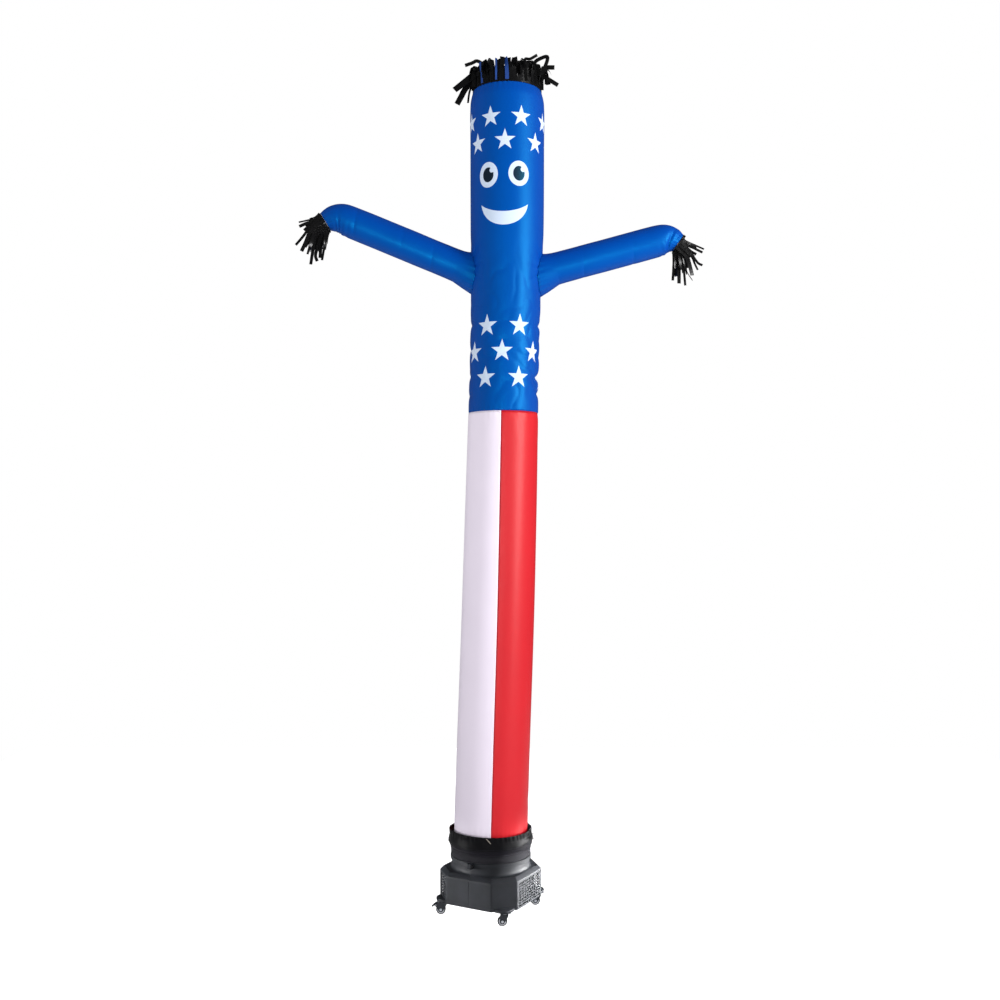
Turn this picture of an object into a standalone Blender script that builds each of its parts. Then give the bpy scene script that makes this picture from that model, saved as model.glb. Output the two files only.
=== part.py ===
"""Inflatable air dancer standing on its wheeled blower, as closed solids in metres, +Z up.

The origin is on the floor, at the middle of the whole outline seen from above. The dancer faces -Y. Its
fabric is a sheet FABRIC thick in its inflated shape. The blower stands on four swivel casters.
"""

import math
import random

import bmesh
import bpy
from mathutils import Matrix, Vector

# ---------------------------------------------------------------- fits
GAP = 0.0003  # between pieces that touch
FABRIC = 0.0015  # modelled thickness of the coated nylon

# ---------------------------------------------------------------- blower
STAND_X = -0.037  # the blower's axis, left of the middle of the outline
STAND_TURN = math.radians(-29)  # the seam face looks forward and to the left
LONG_SIDE = 0.201  # octagon sides: four long ones, four corner ones
ACROSS = 0.352  # octagon width across its long sides
SHELL = 0.004
HOUSING_LOW = 0.0555
LOBE_LOW = 0.054
WALL_TOP = 0.164
CHAMFER = 0.014
DECK = WALL_TOP + CHAMFER
DUCT_R = 0.1505  # a 12 inch outlet
NECK_R = 0.1548
COLLAR_R = 0.1600
COLLAR_LOW, COLLAR_TOP = 0.2110, 0.226
SEAT_R = 0.1568  # where the hook tape is wound
TAPE = 0.0018
RIM_LOW, RIM_TOP = 0.2700, 0.292
RIM_R = 0.1634
EAR_REACH, EAR_LOW, EAR_TOP = 0.1745, 0.2045, 0.2257  # the ears that clamp the halves together
ROUND_STEPS = 32
LOBE_R, LOBE_AT, LOBE_THICK = 0.044, 0.178, 0.012
GUARD_WIRE = 0.003
GUARD_RINGS = (0.050, 0.082, 0.114, 0.146)
GUARD_HUB_R = 0.026
GUARD_SPOKES = 6
GUARD_Z = 0.2875

# intake slots: (face's turn from the seam face, columns, slot length, rows)
SLOT_FACES = {
    "side": {"turn": 90, "columns": 3, "length": 0.046, "rows": 10},
    "corner": {"turn": 135, "columns": 1, "length": 0.052, "rows": 8},
}
SLOT_HIGH, SLOT_PITCH, SLOT_TOP = 0.005, 0.0092, 0.151
SLOT_RIB = 0.006

# ---------------------------------------------------------------- casters
PIVOT_AT = 0.196  # from the blower's axis
WHEEL_R, TYRE_W = 0.019, 0.015
TRAIL = 0.008
CORE_R, AXLE_R = 0.0150, 0.003
CORE_HALF = 0.0093
FORK_INSIDE, FORK_OUTSIDE = 0.0096, 0.0116
CROWN_LOW = 0.0465
PLATE_HALF, PLATE_THICK = 0.021, 0.0025
WHEEL_STEPS = 18
CASTERS = {  # turn of the corner from the seam face, and whether it has a brake
    "front": {"turn": 45, "brake": False},
    "right": {"turn": 135, "brake": False},
    "back": {"turn": 225, "brake": True},
    "left": {"turn": 315, "brake": True},
}
BRAKE_PIVOT = Vector((-0.020, 0, 0.0185))  # from the axle
BRAKE_PIN_R = 0.0015
BRAKE_HALF = FORK_INSIDE - GAP

# ---------------------------------------------------------------- dancer
# the tube's centre and radius by height; it leans a little to the right and is narrowest above its waist seam
BODY_ROWS = [
    {"z": 0.308, "x": -0.0370, "r": 0.1474},
    {"z": 0.620, "x": -0.0275, "r": 0.1468},
    {"z": 1.156, "x": -0.0090, "r": 0.1454},
    {"z": 1.600, "x": 0.0035, "r": 0.1432},
    {"z": 1.982, "x": 0.0128, "r": 0.1408},
    {"z": 2.430, "x": 0.0230, "r": 0.1415},
    {"z": 2.660, "x": 0.0280, "r": 0.1467},
    {"z": 3.050, "x": 0.0290, "r": 0.1480},
    {"z": 3.215, "x": 0.0290, "r": 0.1475},
    {"z": 3.264, "x": 0.0285, "r": 0.1405},
]
HEM_Z, WAIST_Z, HEAD_Z = 0.308, 1.982, 3.264
# buckles across the waist: height, direction they face in degrees (0 is +X), depth and reach
BUCKLES = [
    {"z": 2.333, "facing": 5, "deep": 0.0060, "high": 0.016, "wide": 62},
    {"z": 2.124, "facing": -8, "deep": 0.0100, "high": 0.015, "wide": 58},
    {"z": 2.054, "facing": 10, "deep": 0.0070, "high": 0.012, "wide": 50},
    {"z": 2.325, "facing": 186, "deep": 0.0045, "high": 0.014, "wide": 44},
    {"z": 2.130, "facing": 172, "deep": 0.0045, "high": 0.014, "wide": 48},
    {"z": 2.225, "facing": 75, "deep": 0.0050, "high": 0.020, "wide": 60},
]
BODY_STEPS = 28
UPPER_LEVELS = [
    1.9823, 2.036, 2.054, 2.068, 2.096, 2.111, 2.124, 2.137, 2.165, 2.225,
    2.285, 2.317, 2.333, 2.349, 2.390, 2.460, 2.550, 2.660, 2.850, 3.050, 3.225, 3.250, 3.264,
]
LOWER_LEVELS = [0.308, 0.345, 0.62, 0.95, 1.30, 1.60, 1.82, 1.982]
PANELS = {  # where each lower panel starts, in degrees round the tube from +X
    "white_front": {"start": 180, "colour": "white"},
    "red_front": {"start": 270, "colour": "red"},
    "white_back": {"start": 0, "colour": "white"},
    "red_back": {"start": 90, "colour": "red"},
}
PANEL_STEPS = 8
FRONT_SEAM = -1.5  # the front seam sits this far round from the middle, in degrees

# arms: distance along the arm, radius; the route is a straight rise and then a bend down at the wrist
ARM_ROWS = [
    {"at": 0.00, "r": 0.0715},
    {"at": 0.08, "r": 0.0655},
    {"at": 0.16, "r": 0.0638},
    {"at": 0.80, "r": 0.0632},
    {"at": 0.88, "r": 0.0610},
    {"at": 0.95, "r": 0.0520},
    {"at": 1.00, "r": 0.0400},
]
ARMS = {  # side, height of the axis at the root, rise, straight length, wrist's turn down and its bend radius
    "left": {"side": -1, "root_z": 2.549, "rise": 22.35, "reach": 0.540, "turn": 53.4, "bend": 0.094},
    "right": {"side": 1, "root_z": 2.545, "rise": 15.2, "reach": 0.497, "turn": 50.1, "bend": 0.080},
}
ARM_STEPS = 16
ARM_STRAIGHT, ARM_BENT = 6, 6  # rings along the straight and along the bend
ARM_STANDS_OFF = 0.0008  # from the body's wall, which has flat facets
ARM_HOLE = 0.86  # the air hole in the body's wall, as a share of the arm's root

# fringes: a narrow strip cut into streamers
STRIP_HIGH, STRIP_THICK = 0.010, 0.0018
STREAMER_EDGE = 0.0019  # cut away at each side of a streamer
HAIR_COUNT, HAND_COUNT = 46, 16
HAIR_LENGTH, HAND_LENGTH = 0.107, 0.152
HAIR_SEED, HAND_SEED = 7, 11

# cuff: the outline of its folded sheet, as height and radius, and how much of the ruffle it takes. It goes
# up outside the rim, over the free edge, down to the tube's hem, and back along the other side of the cloth
CUFF_OUTLINE = [
    {"z": 0.2560, "r": 0.1611, "ruffle": 1.0},
    {"z": 0.2715, "r": 0.1668, "ruffle": 0.4},
    {"z": 0.2880, "r": 0.1670, "ruffle": 0.4},
    {"z": 0.3060, "r": 0.1632, "ruffle": 0.4},
    {"z": 0.3312, "r": 0.1610, "ruffle": 1.0},
    {"z": 0.3312, "r": 0.1590, "ruffle": 1.0},
    {"z": 0.3110, "r": 0.1486, "ruffle": 0.0},
    {"z": 0.3103, "r": 0.1499, "ruffle": 0.0},
    {"z": 0.3292, "r": 0.1597, "ruffle": 1.0},
    {"z": 0.3060, "r": 0.1617, "ruffle": 0.4},
    {"z": 0.2880, "r": 0.1655, "ruffle": 0.4},
    {"z": 0.2715, "r": 0.1653, "ruffle": 0.4},
    {"z": 0.2560, "r": 0.1596, "ruffle": 1.0},
]
CUFF_RUFFLE, CUFF_LIFT = 0.0026, 0.004
CUFF_STEPS = 36
CUFF_GATHERS = 11  # uneven folds round it

PAINT = {  # linear colour, roughness, metallic
    "blue": ((0.004, 0.075, 0.46), 0.45, 0.0),
    "white": ((0.80, 0.77, 0.86), 0.5, 0.0),
    "red": ((0.77, 0.012, 0.022), 0.45, 0.0),
    "black": ((0.006, 0.006, 0.007), 0.5, 0.0),
    "plastic": ((0.045, 0.048, 0.055), 0.5, 0.0),
    "wire": ((0.02, 0.02, 0.022), 0.35, 0.0),
    "tyre": ((0.012, 0.012, 0.013), 0.7, 0.0),
    "core": ((0.55, 0.56, 0.58), 0.5, 0.0),
    "lever": ((0.008, 0.008, 0.009), 0.55, 0.0),
    "steel": ((0.055, 0.058, 0.07), 0.4, 0.6),
    "zinc": ((0.70, 0.72, 0.75), 0.3, 1.0),
}


# ---------------------------------------------------------------- small helpers
def paint(name):
    """The material of that name, made once."""
    found = bpy.data.materials.get(name)
    if found:
        return found
    colour, rough, metallic = PAINT[name]
    material = bpy.data.materials.new(name)
    material.use_nodes = True
    shader = material.node_tree.nodes["Principled BSDF"]
    shader.inputs["Base Color"].default_value = (*colour, 1)
    shader.inputs["Roughness"].default_value = rough
    shader.inputs["Metallic"].default_value = metallic
    material.diffuse_color = (*colour, 1)
    return material


def thing(name, mesh, colour=None, parent=None, place=None):
    """Puts a bmesh into the scene as an object, with its faces pointing out."""
    bmesh.ops.recalc_face_normals(mesh, faces=mesh.faces[:])
    data = bpy.data.meshes.new(name)
    mesh.to_mesh(data)
    mesh.free()
    made = bpy.data.objects.new(name, data)
    bpy.context.scene.collection.objects.link(made)
    if colour:
        data.materials.append(paint(colour))
    data.shade_smooth()
    data.set_sharp_from_angle(angle=math.radians(35))
    made.parent = parent
    if place is not None:
        made.matrix_basis = place
    return made


def cutter(name, mesh, parent=None, place=None):
    """A helper that only shapes other objects."""
    made = thing(name, mesh, None, parent, place)
    made.hide_render = True
    made.display_type = "WIRE"
    return made


def combine(target, other, operation):
    """Adds a Boolean modifier."""
    step = target.modifiers.new(f"{operation.lower()}_{other.name}", "BOOLEAN")
    step.operation = operation
    step.object = other
    return step


def smooth_row(rows, key, at, field):
    """A row's field at a place along the rows, on a smooth curve through them."""
    last = len(rows) - 1
    i = next((n for n in range(last) if at <= rows[n + 1][key]), last - 1)
    before, low, high, after = (rows[min(max(n, 0), last)] for n in (i - 1, i, i + 1, i + 2))
    span = high[key] - low[key]
    t = (at - low[key]) / span
    rise = (high[field] - before[field]) / max(high[key] - before[key], 1e-9) * span
    fall = (after[field] - low[field]) / max(after[key] - low[key], 1e-9) * span
    return (
        (2 * t**3 - 3 * t**2 + 1) * low[field]
        + (t**3 - 2 * t**2 + t) * rise
        + (3 * t**2 - 2 * t**3) * high[field]
        + (t**3 - t**2) * fall
    )


def loft(rings, cyclic=False, capped=False):
    """A bmesh skinned through rings of points. cyclic joins the last ring to the first."""
    mesh = bmesh.new()
    made = [[mesh.verts.new(p) for p in ring] for ring in rings]
    count = len(made[0])
    pairs = list(zip(made, made[1:])) + ([(made[-1], made[0])] if cyclic else [])
    for low, high in pairs:
        for k in range(count):
            n = (k + 1) % count
            mesh.faces.new((low[k], low[n], high[n], high[k]))
    if capped:
        mesh.faces.new(made[0])
        mesh.faces.new(made[-1])
    return mesh


def prism(outline, low, high, axis="Z"):
    """An outline of 2-D points pushed from low to high along an axis."""
    lift = {"Z": lambda a, b, h: (a, b, h), "Y": lambda a, b, h: (a, h, b)}[axis]
    return loft([[lift(a, b, h) for a, b in outline] for h in (low, high)], capped=True)


def box(low, high):
    """A block between two corners."""
    outline = [(low[0], low[1]), (high[0], low[1]), (high[0], high[1]), (low[0], high[1])]
    return prism(outline, low[2], high[2])


def circle(radius, steps, start=0.0):
    """2-D points round the origin."""
    turns = [start + 2 * math.pi * k / steps for k in range(steps)]
    return [(radius * math.cos(a), radius * math.sin(a)) for a in turns]


def turned(profile, steps, axis="Z", start=0.0, closed=True):
    """A profile of (radius, height) spun round an axis; closed profiles make rings, open ones get end caps."""
    lift = {"Z": lambda a, b, h: (a, b, h), "Y": lambda a, b, h: (a, h, b)}[axis]
    rings = [[lift(a, b, h) for a, b in circle(r, steps, start)] for r, h in profile]
    return loft(rings, cyclic=closed, capped=not closed)


def turn(degrees):
    """A rotation about +Z."""
    return Matrix.Rotation(math.radians(degrees), 4, "Z")


# ---------------------------------------------------------------- blower
def octagon(inset=0.0):
    """The housing's outline, moved in by inset, with the seam face towards -Y."""
    half, side = ACROSS / 2 - inset, LONG_SIDE / 2
    side -= inset * math.tan(math.radians(22.5))
    quarter = [(side, -half), (half, -side)]
    return [
        tuple(turn(90 * q) @ Vector((x, y, 0)))[:2] for q in range(4) for x, y in quarter
    ]


def slot_cutters(stand):
    """All the intake slots of one housing half as one cutter; the other half uses it turned round."""
    joined = bmesh.new()
    for name, face in SLOT_FACES.items():
        long_face = name == "side"
        out = ACROSS / 2 if long_face else (ACROSS / 2 + LONG_SIDE / 2) / math.sqrt(2)
        pitch = face["length"] + SLOT_RIB
        for row in range(face["rows"]):
            z = SLOT_TOP - SLOT_PITCH * row
            for column in range(face["columns"]):
                middle = (column - (face["columns"] - 1) / 2) * pitch
                low = (middle - face["length"] / 2, -out - SHELL, z - SLOT_HIGH)
                high = (middle + face["length"] / 2, -out + 2 * SHELL, z)
                slot = box(low, high)
                slot.transform(turn(face["turn"]))
                piece = bpy.data.meshes.new("slot")
                slot.to_mesh(piece)
                slot.free()
                joined.from_mesh(piece)
                bpy.data.meshes.remove(piece)
    return cutter("slot_cutters", joined, stand)


def housing(stand):
    """Two identical mouldings that meet on a plane through the seam face's middle."""
    deck = [octagon(), octagon(), octagon(CHAMFER)]
    levels = [HOUSING_LOW, WALL_TOP, DECK]
    shell = loft([[(x, y, z) for x, y in o] for o, z in zip(deck, levels)], capped=True)

    neck_profile = [
        (0.150, DECK - 0.010),
        (0.1635, DECK - 0.006),
        (0.1625, DECK + 0.003),
        (NECK_R + 0.0015, DECK + 0.012),
        (NECK_R, DECK + 0.024),
        (NECK_R, COLLAR_LOW),
        (COLLAR_R, COLLAR_LOW),
        (COLLAR_R, COLLAR_TOP),
        (SEAT_R, COLLAR_TOP),
        (SEAT_R, RIM_LOW),
        (RIM_R - 0.003, RIM_LOW),
        (RIM_R, RIM_LOW + 0.005),
        (RIM_R, RIM_TOP - 0.006),
        (RIM_R - 0.005, RIM_TOP),
        (DUCT_R + 0.003, RIM_TOP),
    ]
    neck = cutter("neck_blank", turned(neck_profile, ROUND_STEPS, closed=False), stand)

    inside = loft(
        [
            [(x, y, z) for x, y in octagon(SHELL)]
            for z in (HOUSING_LOW - 0.010, WALL_TOP - SHELL / 2)
        ]
        + [[(x, y, DECK - SHELL) for x, y in octagon(CHAMFER + SHELL / 2)]],
        capped=True,
    )
    cavity = cutter("cavity", inside, stand)
    duct = cutter(
        "duct",
        turned([(DUCT_R, DECK - 0.03), (DUCT_R, RIM_TOP + 0.02)], ROUND_STEPS, closed=False),
        stand,
    )
    slots = slot_cutters(stand)
    far = ACROSS
    for side, way in (("right", 1), ("left", -1)):
        half = thing(f"housing_{side}", shell.copy(), "plastic", stand)
        combine(half, neck, "UNION")
        for number, degrees in enumerate((45, 135)):
            lobe = turned(
                [(LOBE_R - 0.002, LOBE_LOW), (LOBE_R, LOBE_LOW + 0.002),
                 (LOBE_R, LOBE_LOW + LOBE_THICK - 0.002), (LOBE_R - 0.002, LOBE_LOW + LOBE_THICK)],
                24,
                closed=False,
            )
            lobe.transform(Matrix.Translation((0, -LOBE_AT, 0)))
            lobe.transform(turn(degrees + (0 if way > 0 else 180)))
            combine(half, cutter(f"lobe_{side}_{number}", lobe, stand), "UNION")
        ears = box((-0.010, -EAR_REACH, EAR_LOW), (0.010, -0.150, EAR_TOP))
        ears_back = box((-0.010, 0.150, EAR_LOW), (0.010, EAR_REACH, EAR_TOP))
        combine(half, cutter(f"ear_{side}_front", ears, stand), "UNION")
        combine(half, cutter(f"ear_{side}_back", ears_back, stand), "UNION")
        combine(half, cavity, "DIFFERENCE")
        combine(half, duct, "DIFFERENCE")
        turned_slots = slots
        if way < 0:
            turned_slots = bpy.data.objects.new("slot_cutters_left", slots.data)
            bpy.context.scene.collection.objects.link(turned_slots)
            turned_slots.parent = stand
            turned_slots.matrix_basis = turn(180)
            turned_slots.hide_render = True
            turned_slots.display_type = "WIRE"
        combine(half, turned_slots, "DIFFERENCE")
        keep = box((GAP / 2, -far, -0.1), (far, far, 0.5))
        if way < 0:
            keep.transform(turn(180))
        combine(half, cutter(f"keep_{side}", keep, stand), "INTERSECT")
    shell.free()


def blower_fittings(stand):
    """The base plate, hook tape, outlet guard and seam screws."""
    floor = [octagon(SHELL + GAP), octagon(SHELL + GAP)]
    plate = loft(
        [[(x, y, z) for x, y in o] for o, z in zip(floor, (HOUSING_LOW, HOUSING_LOW + 0.004))],
        capped=True,
    )
    thing("base_plate", plate, "plastic", stand)

    low, high = COLLAR_TOP + GAP, RIM_LOW - GAP
    near, far = SEAT_R + GAP, SEAT_R + GAP + TAPE
    thing("hook_tape", turned([(near, low), (far, low), (far, high), (near, high)], ROUND_STEPS), "black", stand)

    guard = thing(
        "outlet_guard",
        turned(
            [(GUARD_HUB_R, GUARD_Z - 0.003), (GUARD_HUB_R, GUARD_Z + 0.001), (GUARD_HUB_R * 0.8, GUARD_Z + 0.003)],
            18,
            closed=False,
        ),
        "wire",
        stand,
    )
    half = GUARD_WIRE / 2
    for number, radius in enumerate(GUARD_RINGS):
        section = [
            (radius - half, GUARD_Z), (radius, GUARD_Z - half), (radius + half, GUARD_Z), (radius, GUARD_Z + half),
        ]
        ring = cutter(f"guard_ring_{number}", turned(section, 20), stand)
        if number == 0:
            rings = ring
        else:
            combine(rings, ring, "UNION")
    for number in range(GUARD_SPOKES):
        reach = DUCT_R * math.cos(math.pi / ROUND_STEPS) - GAP
        spoke = box((0.02, -half * 0.8, GUARD_Z - 0.0027), (reach, half * 0.8, GUARD_Z - 0.0008))
        spoke.transform(turn(360 / GUARD_SPOKES * number + 30))
        combine(guard, cutter(f"guard_spoke_{number}", spoke, stand), "UNION")
    combine(guard, rings, "UNION")

    for side, degrees in (("front", 0), ("back", 180)):
        screw = turned([(0.0072, 0.0), (0.0072, 0.0055), (0.005, 0.0075)], 12, "Y", closed=False)
        screw.transform(Matrix.Rotation(math.radians(-90), 4, "Z"))
        screw.transform(Matrix.Translation((0.010 + GAP, -0.1675, (EAR_LOW + EAR_TOP) / 2)))
        screw.transform(turn(degrees))
        thing(f"seam_screw_{side}", screw, "lever", stand)


# ---------------------------------------------------------------- casters
def caster(name, degrees, brake, stand_place):
    """One swivel caster under a corner lobe. The wheel trails to the left and its axle points at the viewer."""
    pivot = stand_place @ turn(degrees) @ Vector((0, -PIVOT_AT, 0))
    top = LOBE_LOW - GAP
    plate = box((-PLATE_HALF, -PLATE_HALF, -PLATE_THICK), (PLATE_HALF, PLATE_HALF, 0))
    place = Matrix.Translation((pivot.x, pivot.y, top)) @ Matrix.Rotation(STAND_TURN, 4, "Z") @ turn(degrees)
    thing(f"caster_plate_{name}", plate, "steel", None, place)

    holder = bpy.data.objects.new(f"swivel_{name}", None)
    bpy.context.scene.collection.objects.link(holder)
    holder.location = (pivot.x, pivot.y, 0)
    crown = top - PLATE_THICK - GAP
    axle_x = -TRAIL
    boss = 0.0075
    foot = [
        (axle_x + boss * math.cos(a), WHEEL_R + boss * math.sin(a))
        for a in (math.radians(d) for d in (200, 235, 270, 305, 340))
    ]
    if brake:
        pin = BRAKE_PIVOT + Vector((axle_x, 0, WHEEL_R))
        rear = [
            (-0.018, crown), (pin.x - 0.003, pin.z + 0.006), (pin.x - 0.005, pin.z + 0.001),
            (pin.x - 0.003, pin.z - 0.005), (pin.x + 0.006, pin.z - 0.012),
        ]
    else:
        rear = [(-0.016, crown)]
    outline = foot + [(0.0155, CROWN_LOW - 0.004), (0.0155, crown)] + rear
    fork = thing(f"caster_fork_{name}", prism(outline, -FORK_OUTSIDE, FORK_OUTSIDE, "Y"), "steel", holder)
    under = [
        (-0.08, -0.05), (0.08, -0.05), (0.08, CROWN_LOW), (-0.017, CROWN_LOW), (-0.017, 0.06), (-0.08, 0.06),
    ]
    hollow = prism(under, -FORK_INSIDE, FORK_INSIDE, "Y")
    combine(fork, cutter(f"fork_gap_{name}", hollow, holder), "DIFFERENCE")
    bore = prism(circle(AXLE_R + GAP, 12), -0.03, 0.03, "Y")
    at_axle = Matrix.Translation((axle_x, 0, WHEEL_R))
    bore_cutter = cutter(f"fork_bore_{name}", bore, holder, at_axle)
    combine(fork, bore_cutter, "DIFFERENCE")

    head = FORK_OUTSIDE + GAP
    nut = 0.0055
    bolt_profile = [
        (nut, -head - 0.003), (nut, -head), (AXLE_R, -head), (AXLE_R, head), (nut, head), (nut, head + 0.003),
    ]
    thing(f"axle_bolt_{name}", turned(bolt_profile, 6, "Y", closed=False), "zinc", holder, at_axle)

    inner, edge = CORE_R + GAP, TYRE_W / 2
    flat = WHEEL_R / math.cos(math.pi / WHEEL_STEPS)
    tyre_profile = [
        (inner, -edge), (flat - 0.0022, -edge), (flat, -edge + 0.0025), (flat, edge - 0.0025),
        (flat - 0.0022, edge), (inner, edge),
    ]
    start = -math.pi / 2 + math.pi / WHEEL_STEPS
    thing(f"tyre_{name}", turned(tyre_profile, WHEEL_STEPS, "Y", start), "tyre", holder, at_axle)
    bore_r = AXLE_R + GAP
    core_profile = [
        (bore_r, -CORE_HALF), (0.0055, -CORE_HALF), (0.0075, -edge + 0.001), (CORE_R, -edge + 0.001),
        (CORE_R, edge - 0.001), (0.0075, edge - 0.001), (0.0055, CORE_HALF), (bore_r, CORE_HALF),
    ]
    thing(f"wheel_core_{name}", turned(core_profile, 10, "Y", start), "core", holder, at_axle)
    if brake:
        rivet = prism(circle(BRAKE_PIN_R, 10), -FORK_OUTSIDE - 0.001, FORK_OUTSIDE + 0.001, "Y")
        at_pin = Matrix.Translation(pin)
        combine(fork, cutter(f"brake_rivet_{name}", rivet, holder, at_pin), "UNION")
        brake_lever(name, holder, at_pin)


def brake_lever(name, holder, at_pin):
    """The rocker that presses on the tyre when its tail is trodden down, on a rivet in the fork."""
    outline = [
        (0.0040, 0.0000), (0.0028, 0.0036), (-0.0005, 0.0046), (-0.0060, 0.0030), (-0.0170, -0.0070),
        (-0.0162, -0.0088), (-0.0060, -0.0022), (-0.0030, -0.0040), (0.0004, -0.0076), (0.0020, -0.0074),
    ]
    lever = thing(f"brake_lever_{name}", prism(outline, -BRAKE_HALF, BRAKE_HALF, "Y"), "lever", holder, at_pin)
    bore = prism(circle(BRAKE_PIN_R + GAP, 10), -0.02, 0.02, "Y")
    combine(lever, cutter(f"brake_bore_{name}", bore, holder, at_pin), "DIFFERENCE")


# ---------------------------------------------------------------- dancer
def body_radius(facing, z):
    """The tube's outer radius in a direction, in degrees from +X, with its waist buckles."""
    radius = smooth_row(BODY_ROWS, "z", z, "r")
    for dent in BUCKLES:
        off = (facing - dent["facing"] + 180) % 360 - 180
        if abs(off) < dent["wide"]:
            across = math.cos(math.radians(90 * off / dent["wide"])) ** 2
            up = (z - dent["z"]) / dent["high"]
            radius -= dent["deep"] * across * math.exp(-up * up)
    return radius


def body_point(facing, z, inward=0.0):
    """A point on the tube's outer side, or that far inside it."""
    radius = body_radius(facing, z) - inward
    a = math.radians(facing)
    return Vector((smooth_row(BODY_ROWS, "z", z, "x") + radius * math.cos(a), radius * math.sin(a), z))


def arm_at(arm, share):
    """The arm's centre and direction at a share of its length, in the plane y = 0."""
    rise = math.radians(arm["rise"])
    bend_length = math.radians(arm["turn"]) * arm["bend"]
    along = share * (arm["reach"] + bend_length)
    root_x = smooth_row(BODY_ROWS, "z", arm["root_z"], "x") + arm["side"] * 0.140
    straight = min(along, arm["reach"])
    x, z = straight * math.cos(rise), straight * math.sin(rise)
    heading = rise
    if along > arm["reach"]:
        heading = rise - (along - arm["reach"]) / arm["bend"]
        x += arm["bend"] * (math.sin(rise) - math.sin(heading))
        z += arm["bend"] * (math.cos(heading) - math.cos(rise))
    centre = Vector((root_x + arm["side"] * x, 0, arm["root_z"] + z))
    return centre, Vector((arm["side"] * math.cos(heading), 0, math.sin(heading)))


def arm_ring(arm, share, inward=0.0, steps=ARM_STEPS):
    """Points round the arm at a share of its length; the root follows the body's side."""
    centre, ahead = arm_at(arm, share)
    radius = smooth_row(ARM_ROWS, "at", share, "r") - inward
    up = Vector((-ahead.z * arm["side"], 0, ahead.x * arm["side"]))
    points = []
    for y, v in circle(radius, steps):
        point = centre + up * v + Vector((0, y, 0))
        if share == 0:
            body_x = smooth_row(BODY_ROWS, "z", point.z, "x")
            wall = body_radius(0 if arm["side"] > 0 else 180, point.z) + ARM_STANDS_OFF
            target = body_x + arm["side"] * math.sqrt(wall**2 - y**2)
            point += ahead * ((target - point.x) / ahead.x)
        points.append(point)
    return points


def arm_shares(arm):
    """Where the arm's rings are: sparse along the straight, close in the bend."""
    bend_length = math.radians(arm["turn"]) * arm["bend"]
    knee = arm["reach"] / (arm["reach"] + bend_length)
    straight = [0.0, 0.07, 0.14] + [0.14 + (knee - 0.14) * k / ARM_STRAIGHT for k in range(2, ARM_STRAIGHT + 1, 2)]
    return straight + [knee + (1 - knee) * k / ARM_BENT for k in range(1, ARM_BENT + 1)]


def dancer():
    """The upper tube with its two air holes, the four lower panels and the arms."""
    facings = [360 * (k + 0.5) / BODY_STEPS for k in range(BODY_STEPS)]
    outside = [[body_point(f, z) for f in facings] for z in UPPER_LEVELS]
    inside = [[body_point(f, z, FABRIC) for f in facings] for z in reversed(UPPER_LEVELS)]
    upper = thing("upper_tube", loft(outside + inside, cyclic=True), "blue")

    for side, arm in ARMS.items():
        centre, _ = arm_at(arm, 0)
        deep = ARM_ROWS[0]["r"] * ARM_HOLE
        hole = [(deep * math.cos(a), deep * math.sin(a)) for a in (2 * math.pi * k / 16 for k in range(16))]
        cut = loft([[(centre.x + d, y, centre.z + v) for y, v in hole] for d in (-0.045, 0.045)], capped=True)
        combine(upper, cutter(f"arm_hole_{side}", cut), "DIFFERENCE")
        shares = arm_shares(arm)
        rings = [arm_ring(arm, s) for s in shares]
        rings += [arm_ring(arm, s, FABRIC) for s in reversed(shares)]
        thing(f"arm_{side}", loft(rings, cyclic=True), "blue")

    for name, panel in PANELS.items():
        edge = math.degrees(GAP / 2 / 0.145)
        start = panel["start"] + FRONT_SEAM + edge
        width = 90 - 2 * edge
        facings = [start + width * k / PANEL_STEPS for k in range(PANEL_STEPS + 1)]
        rings = [
            [body_point(f, z) for f in facings] + [body_point(f, z, FABRIC) for f in reversed(facings)]
            for z in LOWER_LEVELS
        ]
        thing(f"panel_{name}", loft(rings, capped=True), panel["colour"])


def cuff_wave(facing):
    """How far the gathered cuff stands off in a direction: uneven, and never inside its rows."""
    a = math.radians(facing)
    wave = math.sin(CUFF_GATHERS * a + 1.1 * math.sin(3 * a)) + 0.6 * math.sin(7 * a + 2.0)
    return 0.5 + wave / 3.2


def cuff():
    """The black cuff that the tube is sewn into. It grips the blower's rim and tape."""
    facings = [360 * k / CUFF_STEPS for k in range(CUFF_STEPS)]
    rings = []
    for row in CUFF_OUTLINE:
        ring = []
        for facing in facings:
            wave = cuff_wave(facing)
            radius = row["r"] + CUFF_RUFFLE * row["ruffle"] * wave
            lift = CUFF_LIFT * (wave - 0.5) if row["ruffle"] == 1 else 0.0
            a = math.radians(facing)
            ring.append((STAND_X + radius * math.cos(a), radius * math.sin(a), row["z"] + lift))
        rings.append(ring)
    thing("base_cuff", loft(rings, cyclic=True), "black")


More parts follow.
